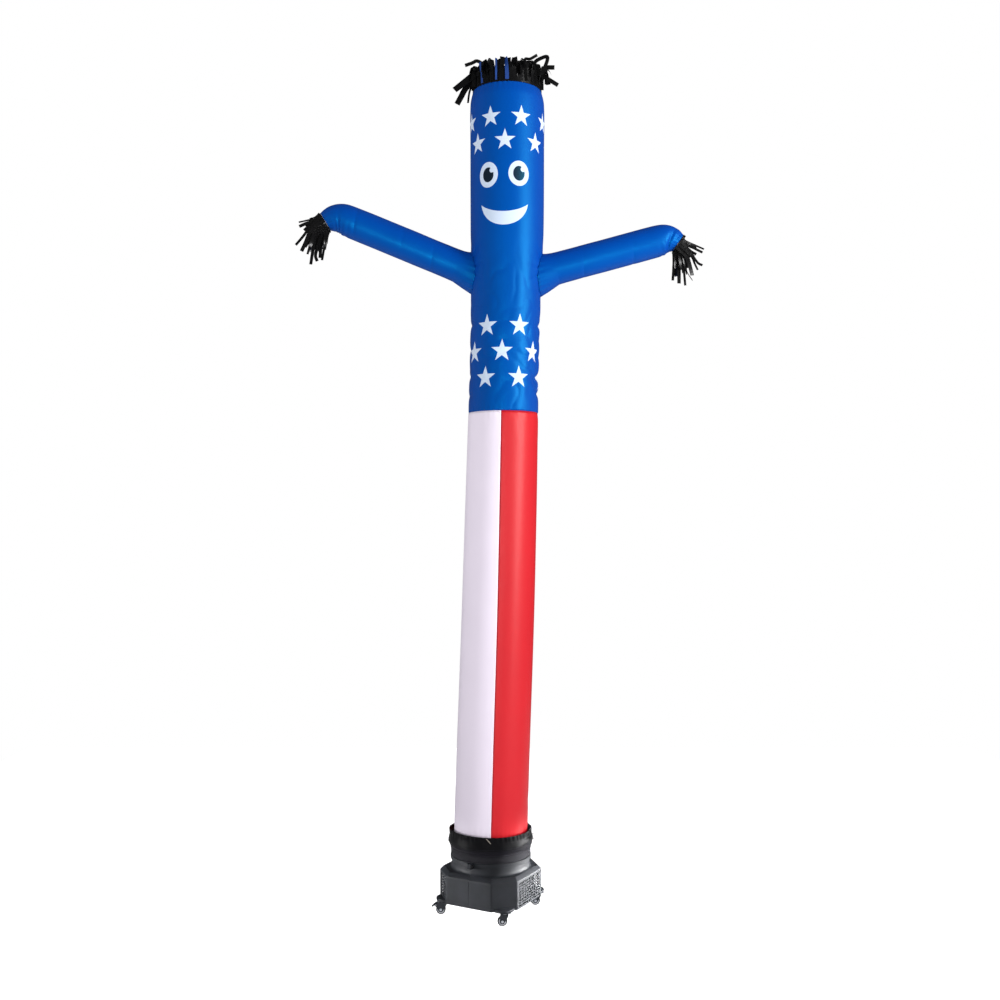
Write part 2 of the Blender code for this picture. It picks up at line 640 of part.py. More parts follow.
# ---------------------------------------------------------------- fringes
def fringe(name, ring_at, up, count, grow):
    """A narrow ring-shaped strip whose top faces are drawn out into streamers.

    ring_at gives the strip's points for an offset along up, grow the steps of one streamer.
    """
    rings = [ring_at(0.0, 0.0), ring_at(STRIP_HIGH, 0.0), ring_at(STRIP_HIGH, STRIP_THICK), ring_at(0.0, STRIP_THICK)]
    mesh = loft(rings, cyclic=True)
    bmesh.ops.recalc_face_normals(mesh, faces=mesh.faces[:])
    mesh.faces.ensure_lookup_table()
    roots = [mesh.faces[count + k] for k in range(count)]
    for number, root in enumerate(roots):
        sides = sorted(root.edges, key=lambda e: e.calc_length())[2:]
        width = sides[0].calc_length()
        made = bmesh.ops.inset_individual(mesh, faces=[root], thickness=STRIP_THICK * 0.12)
        share = 1 - 2 * STREAMER_EDGE / width
        middle = root.calc_center_median()
        across = (sides[0].verts[0].co - sides[0].verts[1].co).normalized()
        for vert in root.verts:
            off = vert.co - middle
            vert.co -= across * off.dot(across) * (1 - share)
        face = root
        for move, spin, axis in grow(number, middle, across):
            drawn = bmesh.ops.extrude_discrete_faces(mesh, faces=[face])
            face = drawn["faces"][0]
            centre = face.calc_center_median()
            bmesh.ops.rotate(mesh, verts=face.verts, cent=centre, matrix=Matrix.Rotation(spin, 3, axis))
            bmesh.ops.translate(mesh, verts=face.verts, vec=move)
        del made
    thing(name, mesh, "black")


def hair():
    """Streamers round the open top of the head: up first, then over and outwards."""
    chance = random.Random(HAIR_SEED)
    top = BODY_ROWS[-1]
    outer = top["r"] - 0.0
    plan = [
        {
            "lean": chance.uniform(-4, 16),
            "fold": chance.uniform(35, 120),
            "long": chance.uniform(0.85, 1.0),
            "aside": chance.uniform(-12, 12),
        }
        for _ in range(HAIR_COUNT)
    ]

    def ring_at(up, inward):
        points = circle(outer - inward, HAIR_COUNT)
        return [Vector((top["x"] + x, y, HEAD_Z + GAP + up)) for x, y in points]

    def grow(number, middle, across):
        own = plan[number]
        out = Vector((middle.x - top["x"], middle.y, 0)).normalized()
        sideways = abs(out.x) > 0.80
        length = HAIR_LENGTH * own["long"] * (1.15 if sideways else 1.0)
        lean = own["lean"] + (44 if sideways else 0)
        steps = ((0.30, lean), (0.34, lean + 8), (0.14, lean + own["fold"] * 0.6), (0.22, lean + own["fold"]))
        before = 0.0
        for share, tip in steps:
            angle = math.radians(tip)
            way = Vector((0, 0, 1)) * math.cos(angle) + out * math.sin(angle)
            way += across * math.sin(math.radians(own["aside"])) * 0.5
            axis = Vector((0, 0, 1)).cross(out)
            yield way * share * length, angle - before, axis
            before = angle

    fringe("head_fringe", ring_at, Vector((0, 0, 1)), HAIR_COUNT, grow)


def hand(side):
    """Streamers at a wrist: out along the arm, then hanging."""
    arm = ARMS[side]
    centre, ahead = arm_at(arm, 1.0)
    chance = random.Random(HAND_SEED + arm["side"])
    plan = [{"splay": chance.uniform(0.2, 0.9), "long": chance.uniform(0.72, 1.05)} for _ in range(HAND_COUNT)]
    up = Vector((-ahead.z * arm["side"], 0, ahead.x * arm["side"]))
    radius = ARM_ROWS[-1]["r"]

    def ring_at(forward, inward):
        start = centre + ahead * (GAP + forward)
        return [start + up * v + Vector((0, y, 0)) for y, v in circle(radius - inward, HAND_COUNT)]

    def grow(number, middle, across):
        own = plan[number]
        out = (middle - centre) - ahead * (middle - centre).dot(ahead)
        out.normalize()
        length = HAND_LENGTH * own["long"]
        facing = ahead.copy()
        for share, drop in ((0.22, 0.10), (0.26, 0.45), (0.26, 0.80), (0.26, 0.93)):
            way = (ahead * (1 - drop) + Vector((0, 0, -1)) * drop + out * 0.5 * own["splay"]).normalized()
            axis = facing.cross(way)
            spin = facing.angle(way)
            yield way * share * length, spin, axis if axis.length > 1e-6 else across
            facing = way

    fringe(f"hand_fringe_{side}", ring_at, ahead, HAND_COUNT, grow)


# ---------------------------------------------------------------- the whole
def main():
    for old in list(bpy.data.objects):
        bpy.data.objects.remove(old)
    stand = bpy.data.objects.new("stand", None)
    bpy.context.scene.collection.objects.link(stand)
    stand.location.x = STAND_X
    stand.rotation_euler.z = STAND_TURN
    stand_place = Matrix.Translation((STAND_X, 0, 0)) @ Matrix.Rotation(STAND_TURN, 4, "Z")
    housing(stand)
    blower_fittings(stand)
    for name, corner in CASTERS.items():
        caster(name, corner["turn"], corner["brake"], stand_place)
    dancer()
    cuff()
    hair()
    for side in ARMS:
        hand(side)


main()
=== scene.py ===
"""Looks of the inflatable air dancer and its blower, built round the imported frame.

Everything is in metres with +Z up. The dancer faces -Y. Cloth is cut flat, printed on in flat
measurements, and then rolled into its inflated shape, so its UV map holds real metres.
"""

import logging
import math
import random
from collections.abc import Callable, Iterable
from dataclasses import dataclass, field
from enum import Enum

import bmesh
import bpy
from mathutils import Matrix, Vector, noise


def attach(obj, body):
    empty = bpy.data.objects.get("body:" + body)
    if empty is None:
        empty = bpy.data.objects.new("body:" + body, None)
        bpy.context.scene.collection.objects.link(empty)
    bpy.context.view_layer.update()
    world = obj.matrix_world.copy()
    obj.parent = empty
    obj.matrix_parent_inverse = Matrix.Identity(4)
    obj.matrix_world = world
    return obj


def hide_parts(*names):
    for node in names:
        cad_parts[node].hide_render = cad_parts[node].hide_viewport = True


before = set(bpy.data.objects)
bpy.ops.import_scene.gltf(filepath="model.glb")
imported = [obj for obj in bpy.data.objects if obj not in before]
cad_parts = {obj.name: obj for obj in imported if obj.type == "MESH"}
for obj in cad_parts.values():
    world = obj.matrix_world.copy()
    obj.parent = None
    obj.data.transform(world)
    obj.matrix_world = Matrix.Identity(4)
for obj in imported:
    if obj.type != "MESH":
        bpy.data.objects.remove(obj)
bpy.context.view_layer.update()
log = logging.getLogger("air_dancer")

ROOT = "dancer_on_blower"
FRONT = -90.0  # the direction -Y, in degrees round the tube from +X
CLOTH_GAP = 0.0004  # between two cloth pieces that touch
FULL_TURN = 2 * math.pi
VIEW_DISTANCE = 4.58  # from the photograph's eye to the upright plane through the blower's middle
EYE_HEIGHT = 1.564
BMesh = bmesh.types.BMesh
Object = bpy.types.Object
Tree = bpy.types.NodeTree
Node = bpy.types.Node
Socket = bpy.types.NodeSocket
Pair = tuple[float, float]
Triple = tuple[float, float, float]
Pairs = tuple[Pair, ...]
Profile = list[Pair]


# ---- small tools
def linear(hex_colour: str) -> tuple[float, float, float, float]:
    """Turns an sRGB hex colour into Blender's linear one.

    Args:
        hex_colour: six hex digits, without a hash.

    Returns:
        Red, green, blue and alpha.
    """
    parts = [int(hex_colour[i : i + 2], 16) / 255 for i in (0, 2, 4)]
    return (*(p / 12.92 if p <= 0.04045 else ((p + 0.055) / 1.055) ** 2.4 for p in parts), 1.0)


def smooth_at(rows: Profile, at: float) -> float:
    """Reads a smooth curve through (place, value) rows.

    Args:
        rows: the rows, in order of place.
        at: the place to read.

    Returns:
        The curve's value there.
    """
    last = len(rows) - 1
    i = next((n for n in range(last) if at <= rows[n + 1][0]), last - 1)
    (x0, y0), (x1, y1), (x2, y2), (x3, y3) = (rows[min(max(n, 0), last)] for n in (i - 1, i, i + 1, i + 2))
    span = x2 - x1
    t = (at - x1) / span
    rise = (y2 - y0) / max(x2 - x0, 1e-9) * span
    fall = (y3 - y1) / max(x3 - x1, 1e-9) * span
    return (
        (2 * t**3 - 3 * t**2 + 1) * y1
        + (t**3 - 2 * t**2 + t) * rise
        + (3 * t**2 - 2 * t**3) * y2
        + (t**3 - t**2) * fall
    )


def fade(distance: float, reach: float) -> float:
    """A soft bell that is 1 at no distance and falls to almost 0 at twice the reach."""
    return math.exp(-((distance / reach) ** 2))


def apart(facing: float, other: float) -> float:
    """How far one direction is from another, in degrees between -180 and 180."""
    return (facing - other + 180) % 360 - 180


def round_z(facing: float, radius: float = 1.0, z: float = 0.0, centre: float = 0.0) -> Vector:
    """A point that far out from an upright axis at X = centre, facing in degrees from +X."""
    a = math.radians(facing)
    return Vector((centre + radius * math.cos(a), radius * math.sin(a), z))


def arc(x: float, z: float, radius: float, degrees: range) -> Profile:
    """Points of a circle, one at each of the degrees."""
    turns = [math.radians(d) for d in degrees]
    return [(x + radius * math.cos(a), z + radius * math.sin(a)) for a in turns]


def turned(degrees: float, axis: str = "Z") -> Matrix:
    """A turn round an axis through the origin."""
    return Matrix.Rotation(math.radians(degrees), 4, axis)


def moved(mesh: BMesh, *steps: Matrix) -> BMesh:
    """Takes a whole mesh through each matrix in turn, and hands it back."""
    for step in steps:
        bmesh.ops.transform(mesh, matrix=step, verts=mesh.verts[:])
    return mesh


def rounded(mesh: BMesh, edges: list[bmesh.types.BMEdge], offset: float, segments: int = 3) -> None:
    """Rounds the given edges of a mesh."""
    bmesh.ops.bevel(
        mesh, geom=edges, offset=offset, offset_type="OFFSET", segments=segments, profile=0.5,
        affect="EDGES", material=-1,
    )


def add_node(tree: Tree, kind: str, inputs: dict | None = None, **settings: object) -> Node:
    """Adds a shader node with its settings, values and links.

    Args:
        tree: the node tree.
        kind: the node type's name without the ShaderNode prefix.
        inputs: input name or index to a value, or to an output socket to link from.
        settings: the node's own properties.

    Returns:
        The new node.
    """
    made = tree.nodes.new(f"ShaderNode{kind}")
    for name, value in settings.items():
        setattr(made, name, value)
    for key, value in (inputs or {}).items():
        if isinstance(value, Socket):
            tree.links.new(value, made.inputs[key])
        else:
            made.inputs[key].default_value = value
    return made


def maths(tree: Tree, operation: str, *values: object, **settings: object) -> Socket:
    """Adds a Math node for values and sockets, in the order of its inputs."""
    return add_node(tree, "Math", dict(enumerate(values)), operation=operation, **settings).outputs[0]


def piece(
    name: str, mesh: BMesh, finish: "Finish", body: str = ROOT, stands_for: Iterable[str] = (),
    sharp: float = 40.0, tidy: bool = True,
) -> Object:
    """Makes a finished object of a bmesh, at the origin, and fixes it to a body of the frame.

    Args:
        name: the object's name.
        mesh: the mesh, which is freed.
        finish: what it is made of.
        body: the body that it moves with.
        stands_for: the frame's nodes that it takes the place of.
        sharp: edges bent by more than this many degrees stay sharp.
        tidy: whether doubles are merged and the faces turned outwards.

    Returns:
        The object.
    """
    if tidy:
        bmesh.ops.remove_doubles(mesh, verts=mesh.verts[:], dist=1e-6)
        bmesh.ops.recalc_face_normals(mesh, faces=mesh.faces[:])
    data = bpy.data.meshes.new(name)
    mesh.to_mesh(data)
    mesh.free()
    data.shade_smooth()
    data.set_sharp_from_angle(angle=math.radians(sharp))
    data.materials.append(finish.material())
    made = bpy.data.objects.new(name, data)
    bpy.context.scene.collection.objects.link(made)
    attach(made, body)
    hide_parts(*stands_for)
    log.info("%s: %d faces, on %s", name, len(data.polygons), body)
    return made


def thicken(made: Object, thickness: float, offset: float = -1.0) -> None:
    """Gives a sheet its thickness with a Solidify modifier; offset -1 keeps its outer side in place."""
    step = made.modifiers.new("thickness", "SOLIDIFY")
    step.thickness = thickness
    step.offset = offset


def soften(made: Object, width: float, segments: int = 2) -> None:
    """Rounds an object's sharp edges with a Bevel modifier."""
    step = made.modifiers.new("rounded_edges", "BEVEL")
    step.width = width
    step.segments = segments
    step.limit_method = "ANGLE"
    step.angle_limit = math.radians(35)


def flat_sheet(
    width: float, height: float, columns: int, rows: int, low: float = 0.0, left: float = 0.0
) -> BMesh:
    """Cuts a flat sheet, with its UV map in metres.

    Args:
        width: its size along U.
        height: its size along V.
        columns: faces along U.
        rows: faces along V.
        low: V of its lower edge.
        left: U of its left edge.

    Returns:
        The sheet as a bmesh in the XY plane, at (u, v).
    """
    mesh = bmesh.new()
    bmesh.ops.create_grid(mesh, x_segments=columns, y_segments=rows, size=0.5)
    for vert in mesh.verts:
        vert.co = Vector((left + (vert.co.x + 0.5) * width, low + (vert.co.y + 0.5) * height, 0))
    uv = mesh.loops.layers.uv.new("cloth")
    for face in mesh.faces:
        for loop in face.loops:
            loop[uv].uv = loop.vert.co.xy
    return mesh


def shape_sheet(mesh: BMesh, surface: Callable[[float, float], Vector]) -> None:
    """Moves every point of a flat sheet to surface(u, v)."""
    for vert in mesh.verts:
        vert.co = surface(vert.co.x, vert.co.y)


def open_band(radius: float, height: float, steps: int) -> BMesh:
    """A thin band without ends round Z, standing on the origin's level."""
    band = spun([(radius, 0.0), (radius, height)], steps, closed=False)
    bmesh.ops.delete(band, geom=[face for face in band.faces if len(face.verts) > 4], context="FACES_ONLY")
    return band


def outline_prism(outline: Profile, low: float, high: float) -> BMesh:
    """Pushes an outline of (x, z) points along Y.

    Args:
        outline: the points.
        low: where the prism starts.
        high: where it ends.

    Returns:
        The closed prism.
    """
    mesh = bmesh.new()
    face = mesh.faces.new([mesh.verts.new((x, low, z)) for x, z in outline])
    pushed = bmesh.ops.extrude_face_region(mesh, geom=[face])
    ends = [v for v in pushed["geom"] if isinstance(v, bmesh.types.BMVert)]
    bmesh.ops.translate(mesh, verts=ends, vec=(0, high - low, 0))
    bmesh.ops.recalc_face_normals(mesh, faces=mesh.faces[:])
    return mesh


def spun(profile: Profile, steps: int, axis: str = "Z", closed: bool = True) -> BMesh:
    """Spins a profile of (radius, height) round an axis through the origin.

    Args:
        profile: the points.
        steps: faces round the turn.
        axis: "Z", or "Y" for a wheel.
        closed: whether the profile's last point joins its first; an open one gets flat ends.

    Returns:
        The turned shape.
    """
    mesh = bmesh.new()
    verts = [mesh.verts.new((r, 0, h) if axis == "Z" else (r, h, 0)) for r, h in profile]
    edges = [mesh.edges.new(pair) for pair in zip(verts, verts[1:])]
    if closed:
        edges.append(mesh.edges.new((verts[-1], verts[0])))
    bmesh.ops.spin(
        mesh, geom=verts + edges, cent=(0, 0, 0), axis=(0, 0, 1) if axis == "Z" else (0, 1, 0),
        angle=FULL_TURN, steps=steps, use_merge=True,
    )
    if not closed:
        bmesh.ops.holes_fill(mesh, edges=[e for e in mesh.edges if e.is_boundary])
    bmesh.ops.recalc_face_normals(mesh, faces=mesh.faces[:])
    return mesh


def block(low: Triple, high: Triple, bevel: float) -> BMesh:
    """A block between two corners, with rounded edges."""
    mesh = bmesh.new()
    bmesh.ops.create_cube(mesh, size=1)
    a, b = Vector(low), Vector(high)
    bmesh.ops.scale(mesh, vec=b - a, verts=mesh.verts[:])
    bmesh.ops.translate(mesh, vec=(a + b) / 2, verts=mesh.verts[:])
    rounded(mesh, mesh.edges[:], bevel)
    return mesh


def joined(parts: list[BMesh]) -> BMesh:
    """Puts several meshes into one, and frees them."""
    whole = bmesh.new()
    for part in parts:
        held = bpy.data.meshes.new("part")
        part.to_mesh(held)
        part.free()
        whole.from_mesh(held)
        bpy.data.meshes.remove(held)
    return whole


def carved(blank: BMesh, cutter: BMesh) -> BMesh:
    """Cuts one solid out of another with the exact Boolean.

    Args:
        blank: the solid that is worked on, which is freed.
        cutter: the solid that is taken out of it, which is freed too.

    Returns:
        The result.
    """
    made = []
    for mesh in (blank, cutter):
        data = bpy.data.meshes.new("blank")
        mesh.to_mesh(data)
        mesh.free()
        thing = bpy.data.objects.new("blank", data)
        bpy.context.scene.collection.objects.link(thing)
        made.append(thing)
    step = made[0].modifiers.new("cut", "BOOLEAN")
    step.operation, step.object = "DIFFERENCE", made[1]
    seen = made[0].evaluated_get(bpy.context.evaluated_depsgraph_get())
    result = bmesh.new()
    result.from_mesh(seen.to_mesh())
    seen.to_mesh_clear()
    for thing in made:
        data = thing.data
        bpy.data.objects.remove(thing)
        bpy.data.meshes.remove(data)
    return result


# ---- printed artwork
@dataclass(frozen=True)
class Oval:
    """A printed ellipse: its middle and half sizes on the flat cloth, in metres."""

    u: float
    v: float
    half_width: float
    half_height: float


@dataclass(frozen=True)
class Smile:
    """A printed crescent between two arcs that meet at the corners of the mouth."""

    u: float
    v: float
    half_width: float
    deep: float
    shallow: float

    def circle(self, drop: float) -> Oval:
        """The circle through both corners that hangs this far below them."""
        radius = (self.half_width**2 + drop**2) / (2 * drop)
        return Oval(self.u, self.v - drop + radius, radius, radius)


@dataclass(frozen=True)
class Artwork:
    """All that is printed on the blue cloth. Angles are from the front, positive to the right."""

    cloth_radius: float = 0.1478
    # height, size and narrowing of each row of stars, and where they stand round the tube
    star_rows: tuple[tuple[float, float, float, tuple[float, ...]], ...] = (
        (3.1235, 0.0432, 1.0, (-72.6, -26.7, 21.5, 70.6, 124.8, 179.0, 233.2)),
        (3.0300, 0.0432, 1.0, (-52.3, -3.9, 47.9, 99.9, 151.8, 203.8, 255.7)),
        (2.3140, 0.0455, 0.955, (-31.1, 24.0, 93.0, 149.0, 205.0, 261.0)),
        (2.2140, 0.0455, 0.955, (-59.2, -4.4, 52.6, 121.0, 177.0, 233.0)),
        (2.1120, 0.0455, 0.955, (-32.4, 24.2, 93.0, 149.0, 205.0, 260.0)),
    )
    eyes: tuple[Oval, ...] = (Oval(-0.0796, 2.8990, 0.0418, 0.0495), Oval(0.0462, 2.9010, 0.0425, 0.0487))
    pupil: Pair = (0.0240, 0.0288)
    glint: Triple = (0.0165, 0.0165, 0.0098)  # across, up, radius
    mouth: Smile = Smile(-0.0135, 2.7850, 0.0990, 0.084, 0.0318)
    notch: float = 0.39  # a star's inner radius as a share of its outer one

    def stars(self) -> list[tuple[float, float, float, float]]:
        """Every star's middle, size and narrowing, with a second copy across the closing seam."""
        turn = FULL_TURN * self.cloth_radius
        found = []
        for height, size, narrow, angles in self.star_rows:
            for angle in angles:
                u = math.radians(apart(angle, 0)) * self.cloth_radius
                laps = [u + lap for lap in (-turn, 0.0, turn) if abs(u + lap) < 0.6 * turn]
                found += [(lap, height, size, narrow) for lap in laps]
        return found

    def map_stars(self, mesh: BMesh) -> None:
        """Gives each face of the flat sheet a second UV map, measured from its nearest star in star sizes."""
        stars = self.stars()
        layer = mesh.loops.layers.uv.new("star")
        for face in mesh.faces:
            middle = face.calc_center_median()
            u, v, size, narrow = min(stars, key=lambda s: math.hypot(s[0] - middle.x, s[1] - middle.y))
            for loop in face.loops:
                place = loop.vert.co
                loop[layer].uv = ((place.x - u) * narrow / size, (place.y - v) / size)


# ---- finishes
class Finish:
    """What a piece is made of. Each finish makes its material once."""

    name: str
    slot: str

    def material(self) -> bpy.types.Material:
        """The finish as a material, made the first time it is asked for."""
        found = bpy.data.materials.get(self.name)
        if found:
            return found
        made = bpy.data.materials.new(self.name)
        made.use_nodes = True
        self.dress(made.node_tree, made.node_tree.nodes["Principled BSDF"])
        return made

    def dress(self, tree: Tree, shader: Node) -> None:
        """Sets the shader up. Each finish has its own."""
        raise NotImplementedError


def set_shader(shader: Node, **values: object) -> None:
    """Sets the shader's own sockets; an underscore stands for a space in a socket's name."""
    for name, value in values.items():
        shader.inputs[name.replace("_", " ")].default_value = value


def two_tone(
    tree: Tree, shader: Node, share: Socket, first: str, second: str, low: float = 0.0, high: float = 1.0
) -> None:
    """Colours a material from one sRGB hex to another as share goes from low to high."""
    ramp = add_node(tree, "ValToRGB", {"Fac": share})
    for stop, place, colour in zip(ramp.color_ramp.elements, (low, high), (first, second)):
        stop.position, stop.color = place, linear(colour)
    tree.links.new(ramp.outputs["Color"], shader.inputs["Base Color"])


def mottled(tree: Tree, scale: float, detail: float = 2.0) -> Socket:
    """Noise on the object's own coordinates."""
    body = add_node(tree, "TexCoord").outputs["Object"]
    return add_node(tree, "TexNoise", {"Vector": body, "Scale": scale, "Detail": detail}).outputs["Fac"]


def emboss(
    tree: Tree, shader: Node, height: Socket, strength: float, deep: float, **settings: object
) -> None:
    """Raises a pattern on a material, deep metres from its lowest to its highest."""
    bump = add_node(tree, "Bump", {"Strength": strength, "Distance": deep, "Height": height}, **settings)
    tree.links.new(bump.outputs[0], shader.inputs["Normal"])


@dataclass(frozen=True)
class CoatedNylon(Finish):
    """Polyurethane-coated nylon taffeta, woven plain and calendered on its inner side.

    It has a soft satin band of light and a faint weave. The thread spacing is about 0.3 mm on the real
    cloth and is drawn four times as coarse, so that it shows from close by.
    """

    name: str
    slot: str
    colour: str
    shade: str
    thread: float = 0.0012
    roughness: float = 0.40
    stitch: str = "e8e8ee"
    gloss: float = 0.5
    gleam: str = "ffffff"  # the dye shows in the highlight too, because the threads let light through
    ripple_depth: float = 0.004
    stitch_line: Pair = (0.0045, 0.0006)  # how far from the seam, and half its width
    stitch_run: Pair = (0.004, 0.003)  # from one stitch to the next, and a stitch's length

    def dress(self, tree: Tree, shader: Node) -> None:
        """Weave, soft ripples, printed artwork and the stitches beside each seam."""
        set_shader(shader, Roughness=self.roughness, IOR=1.5)
        set_shader(shader, Specular_IOR_Level=self.gloss, Specular_Tint=linear(self.gleam))
        cloth = add_node(tree, "UVMap", uv_map="cloth").outputs[0]
        body = add_node(tree, "TexCoord").outputs["Object"]
        yarns = [
            add_node(
                tree, "TexWave", {"Vector": cloth, "Scale": 0.314 / self.thread, "Distortion": 0.0},
                wave_type="BANDS", bands_direction=way,
            ).outputs["Fac"]
            for way in "XY"
        ]
        weave = maths(tree, "MULTIPLY", yarns[0], yarns[1])
        dapple = {"Value": mottled(tree, 5.0, 3.0), "From Min": 0.3, "From Max": 0.7, "To Max": 0.5}
        tone = add_node(tree, "MapRange", dapple).outputs[0]
        threads = maths(tree, "MULTIPLY_ADD", weave, 0.25, tone)
        colour = self.blend_in(tree, threads, linear(self.colour), linear(self.shade))
        colour = self.ink(tree, cloth, colour)
        colour, stitch = self.sew(tree, colour)
        tree.links.new(colour, shader.inputs["Base Color"])
        stretched = add_node(tree, "Mapping", {"Vector": body, "Scale": (1.0, 1.0, 0.28)}).outputs[0]
        waves = {"Vector": stretched, "Scale": 16.0, "Detail": 2.5}
        ripple = add_node(tree, "TexNoise", waves).outputs["Fac"]
        under = None
        for height, strength, deep in (
            (ripple, 0.16, self.ripple_depth), (weave, 0.18, 0.0003), (stitch, 0.6, 0.0008),
        ):
            inputs = {"Strength": strength, "Distance": deep, "Height": height}
            under = add_node(tree, "Bump", inputs | ({"Normal": under} if under else {})).outputs[0]
        tree.links.new(under, shader.inputs["Normal"])

    @staticmethod
    def blend_in(tree: Tree, share: object, under: object, over: object) -> Socket:
        """Mixes two colours; the Mix node's colour sockets are 6, 7 and output 2."""
        return add_node(tree, "Mix", {0: share, 6: under, 7: over}, data_type="RGBA").outputs[2]

    def ink(self, tree: Tree, cloth: Socket, under: Socket) -> Socket:
        """Plain cloth carries no print."""
        return under

    def sew(self, tree: Tree, under: Socket) -> tuple[Socket, Socket]:
        """Draws the row of stitches that runs beside each seam, 3 mm long and 1 mm apart.

        Args:
            tree: the node tree.
            under: the colour so far.

        Returns:
            The colour with the thread on it, and the stitches' height.
        """
        from_seam = add_node(tree, "Attribute", attribute_name="from_seam").outputs["Fac"]
        along = add_node(tree, "Attribute", attribute_name="along_seam").outputs["Fac"]
        (beside, half), (pitch, length) = self.stitch_line, self.stitch_run
        line = maths(tree, "COMPARE", from_seam, beside, half)
        run = maths(tree, "FLOORED_MODULO", along, pitch)
        dash = maths(tree, "LESS_THAN", run, length)
        stitch = maths(tree, "MULTIPLY", line, dash)
        return self.blend_in(tree, stitch, under, linear(self.stitch)), stitch


@dataclass(frozen=True)
class PrintedNylon(CoatedNylon):
    """The blue nylon with stars, eyes and a mouth printed on it in flat, opaque ink."""

    art: Artwork = Artwork()
    white_ink: str = "d6e0f2"
    dark_ink: str = "221a22"
    edge: float = 0.0003  # the ink's edge is this soft
    star_size: float = 0.043  # the size that a star's soft edge is worked out for

    def inside(self, tree: Tree, cloth: Socket, oval: Oval) -> Socket:
        """1 inside an oval and 0 outside it, on the flat cloth.

        Args:
            tree: the node tree.
            cloth: the cloth's flat coordinates.
            oval: the printed ellipse.

        Returns:
            The mask.
        """
        wide, high = oval.half_width, oval.half_height
        middle, size = (-oval.u / wide, -oval.v / high, 0), (1 / wide, 1 / high, 0)
        local = add_node(tree, "Mapping", {"Vector": cloth, "Location": middle, "Scale": size}).outputs[0]
        away = add_node(tree, "VectorMath", {0: local}, operation="LENGTH").outputs["Value"]
        soft = self.edge / min(wide, high)
        edge = {"Value": away, "From Min": 1 + soft, "From Max": 1 - soft}
        return add_node(tree, "MapRange", edge).outputs[0]

    def inside_star(self, tree: Tree) -> Socket:
        """Folds a star's ten edges onto one and measures to that straight edge."""
        local = add_node(tree, "UVMap", uv_map="star").outputs[0]
        parts = add_node(tree, "SeparateXYZ", {0: local})
        fifth = FULL_TURN / 5
        turn = parts.outputs[0]
        for operation, other in (
            ("ARCTAN2", parts.outputs[1]), ("ADD", fifth / 2), ("FLOORED_MODULO", fifth),
            ("SUBTRACT", fifth / 2), ("ABSOLUTE", 0.0),
        ):
            turn = maths(tree, operation, turn, other)
        away = add_node(tree, "VectorMath", {0: local}, operation="LENGTH").outputs["Value"]
        sine = maths(tree, "SINE", turn)
        cosine = maths(tree, "COSINE", turn)
        across = maths(tree, "MULTIPLY", away, sine)
        up = maths(tree, "MULTIPLY", away, cosine)
        spot = add_node(tree, "CombineXYZ", {0: across, 1: up, 2: 1.0}).outputs[0]
        notch_x, notch_y = self.art.notch * math.sin(fifth / 2), self.art.notch * math.cos(fifth / 2)
        length = math.hypot(notch_x, 1 - notch_y)
        edge = ((1 - notch_y) / length, notch_x / length, -notch_x / length)
        side = add_node(tree, "VectorMath", {0: spot, 1: edge}, operation="DOT_PRODUCT").outputs["Value"]
        soft = self.edge / self.star_size
        return add_node(tree, "MapRange", {"Value": side, "From Min": soft, "From Max": -soft}).outputs[0]

    def ink(self, tree: Tree, cloth: Socket, under: Socket) -> Socket:
        """Prints the white shapes, and then the pupils with a glint cut out of each.

        Args:
            tree: the node tree.
            cloth: the cloth's flat coordinates.
            under: the colour so far.

        Returns:
            The colour with the ink on it.
        """
        art = self.art
        low = self.inside(tree, cloth, art.mouth.circle(art.mouth.deep))
        top = self.inside(tree, cloth, art.mouth.circle(art.mouth.shallow))
        mouth = maths(tree, "SUBTRACT", low, top, use_clamp=True)
        whites = [self.inside_star(tree), mouth] + [self.inside(tree, cloth, eye) for eye in art.eyes]
        white = whites[0]
        for mask in whites[1:]:
            white = maths(tree, "MAXIMUM", white, mask)
        colour = self.blend_in(tree, white, under, linear(self.white_ink))
        across, up, size = art.glint
        for eye in art.eyes:
            pupil = self.inside(tree, cloth, Oval(eye.u, eye.v, *art.pupil))
            glint = self.inside(tree, cloth, Oval(eye.u + across, eye.v + up, size, size))
            dark = maths(tree, "SUBTRACT", pupil, glint, use_clamp=True)
            colour = self.blend_in(tree, dark, colour, linear(self.dark_ink))
        return colour


@dataclass(frozen=True)
class RibbonNylon(Finish):
    """The same nylon cut into narrow streamers, glossier because they lie taut."""

    name: str
    slot: str
    # painted shade, in the crinkle's hollows
    dark: str
    # painted highlight, on the crinkle's crests
    light: str

    def dress(self, tree: Tree, shader: Node) -> None:
        """A dark satin with a slight crinkle across each streamer, with painted highlight on its crests and
        painted shade in its hollows.
        """
        set_shader(shader, Roughness=0.27, IOR=1.5, Specular_IOR_Level=0.6)
        crinkle = mottled(tree, 40.0, 3.0)
        # The crinkle's crests take the light colour as painted highlight, and its hollows the dark one as
        # painted shade.
        two_tone(tree, shader, crinkle, self.dark, self.light)
        emboss(tree, shader, crinkle, 0.5, 0.0025)


@dataclass(frozen=True)
class Moulded(Finish):
    """ABS or rubber from a mould with a spark-eroded face: a fine even grain that scatters the light."""

    name: str
    slot: str
    colour: str
    worn: str
    roughness: float = 0.5
    grain: float = 0.0009  # the real grain is about 0.3 mm, drawn coarser so that it shows
    depth: float = 0.25
    specular: float = 0.2

    def dress(self, tree: Tree, shader: Node) -> None:
        """Grain for the bump, and a slow change of tone."""
        set_shader(shader, Roughness=self.roughness, IOR=1.5, Specular_IOR_Level=self.specular)
        two_tone(tree, shader, mottled(tree, 14.0, 4.0), self.colour, self.worn, 0.35, 0.75)
        emboss(tree, shader, mottled(tree, 1 / self.grain, 1.0), self.depth, 0.0002)


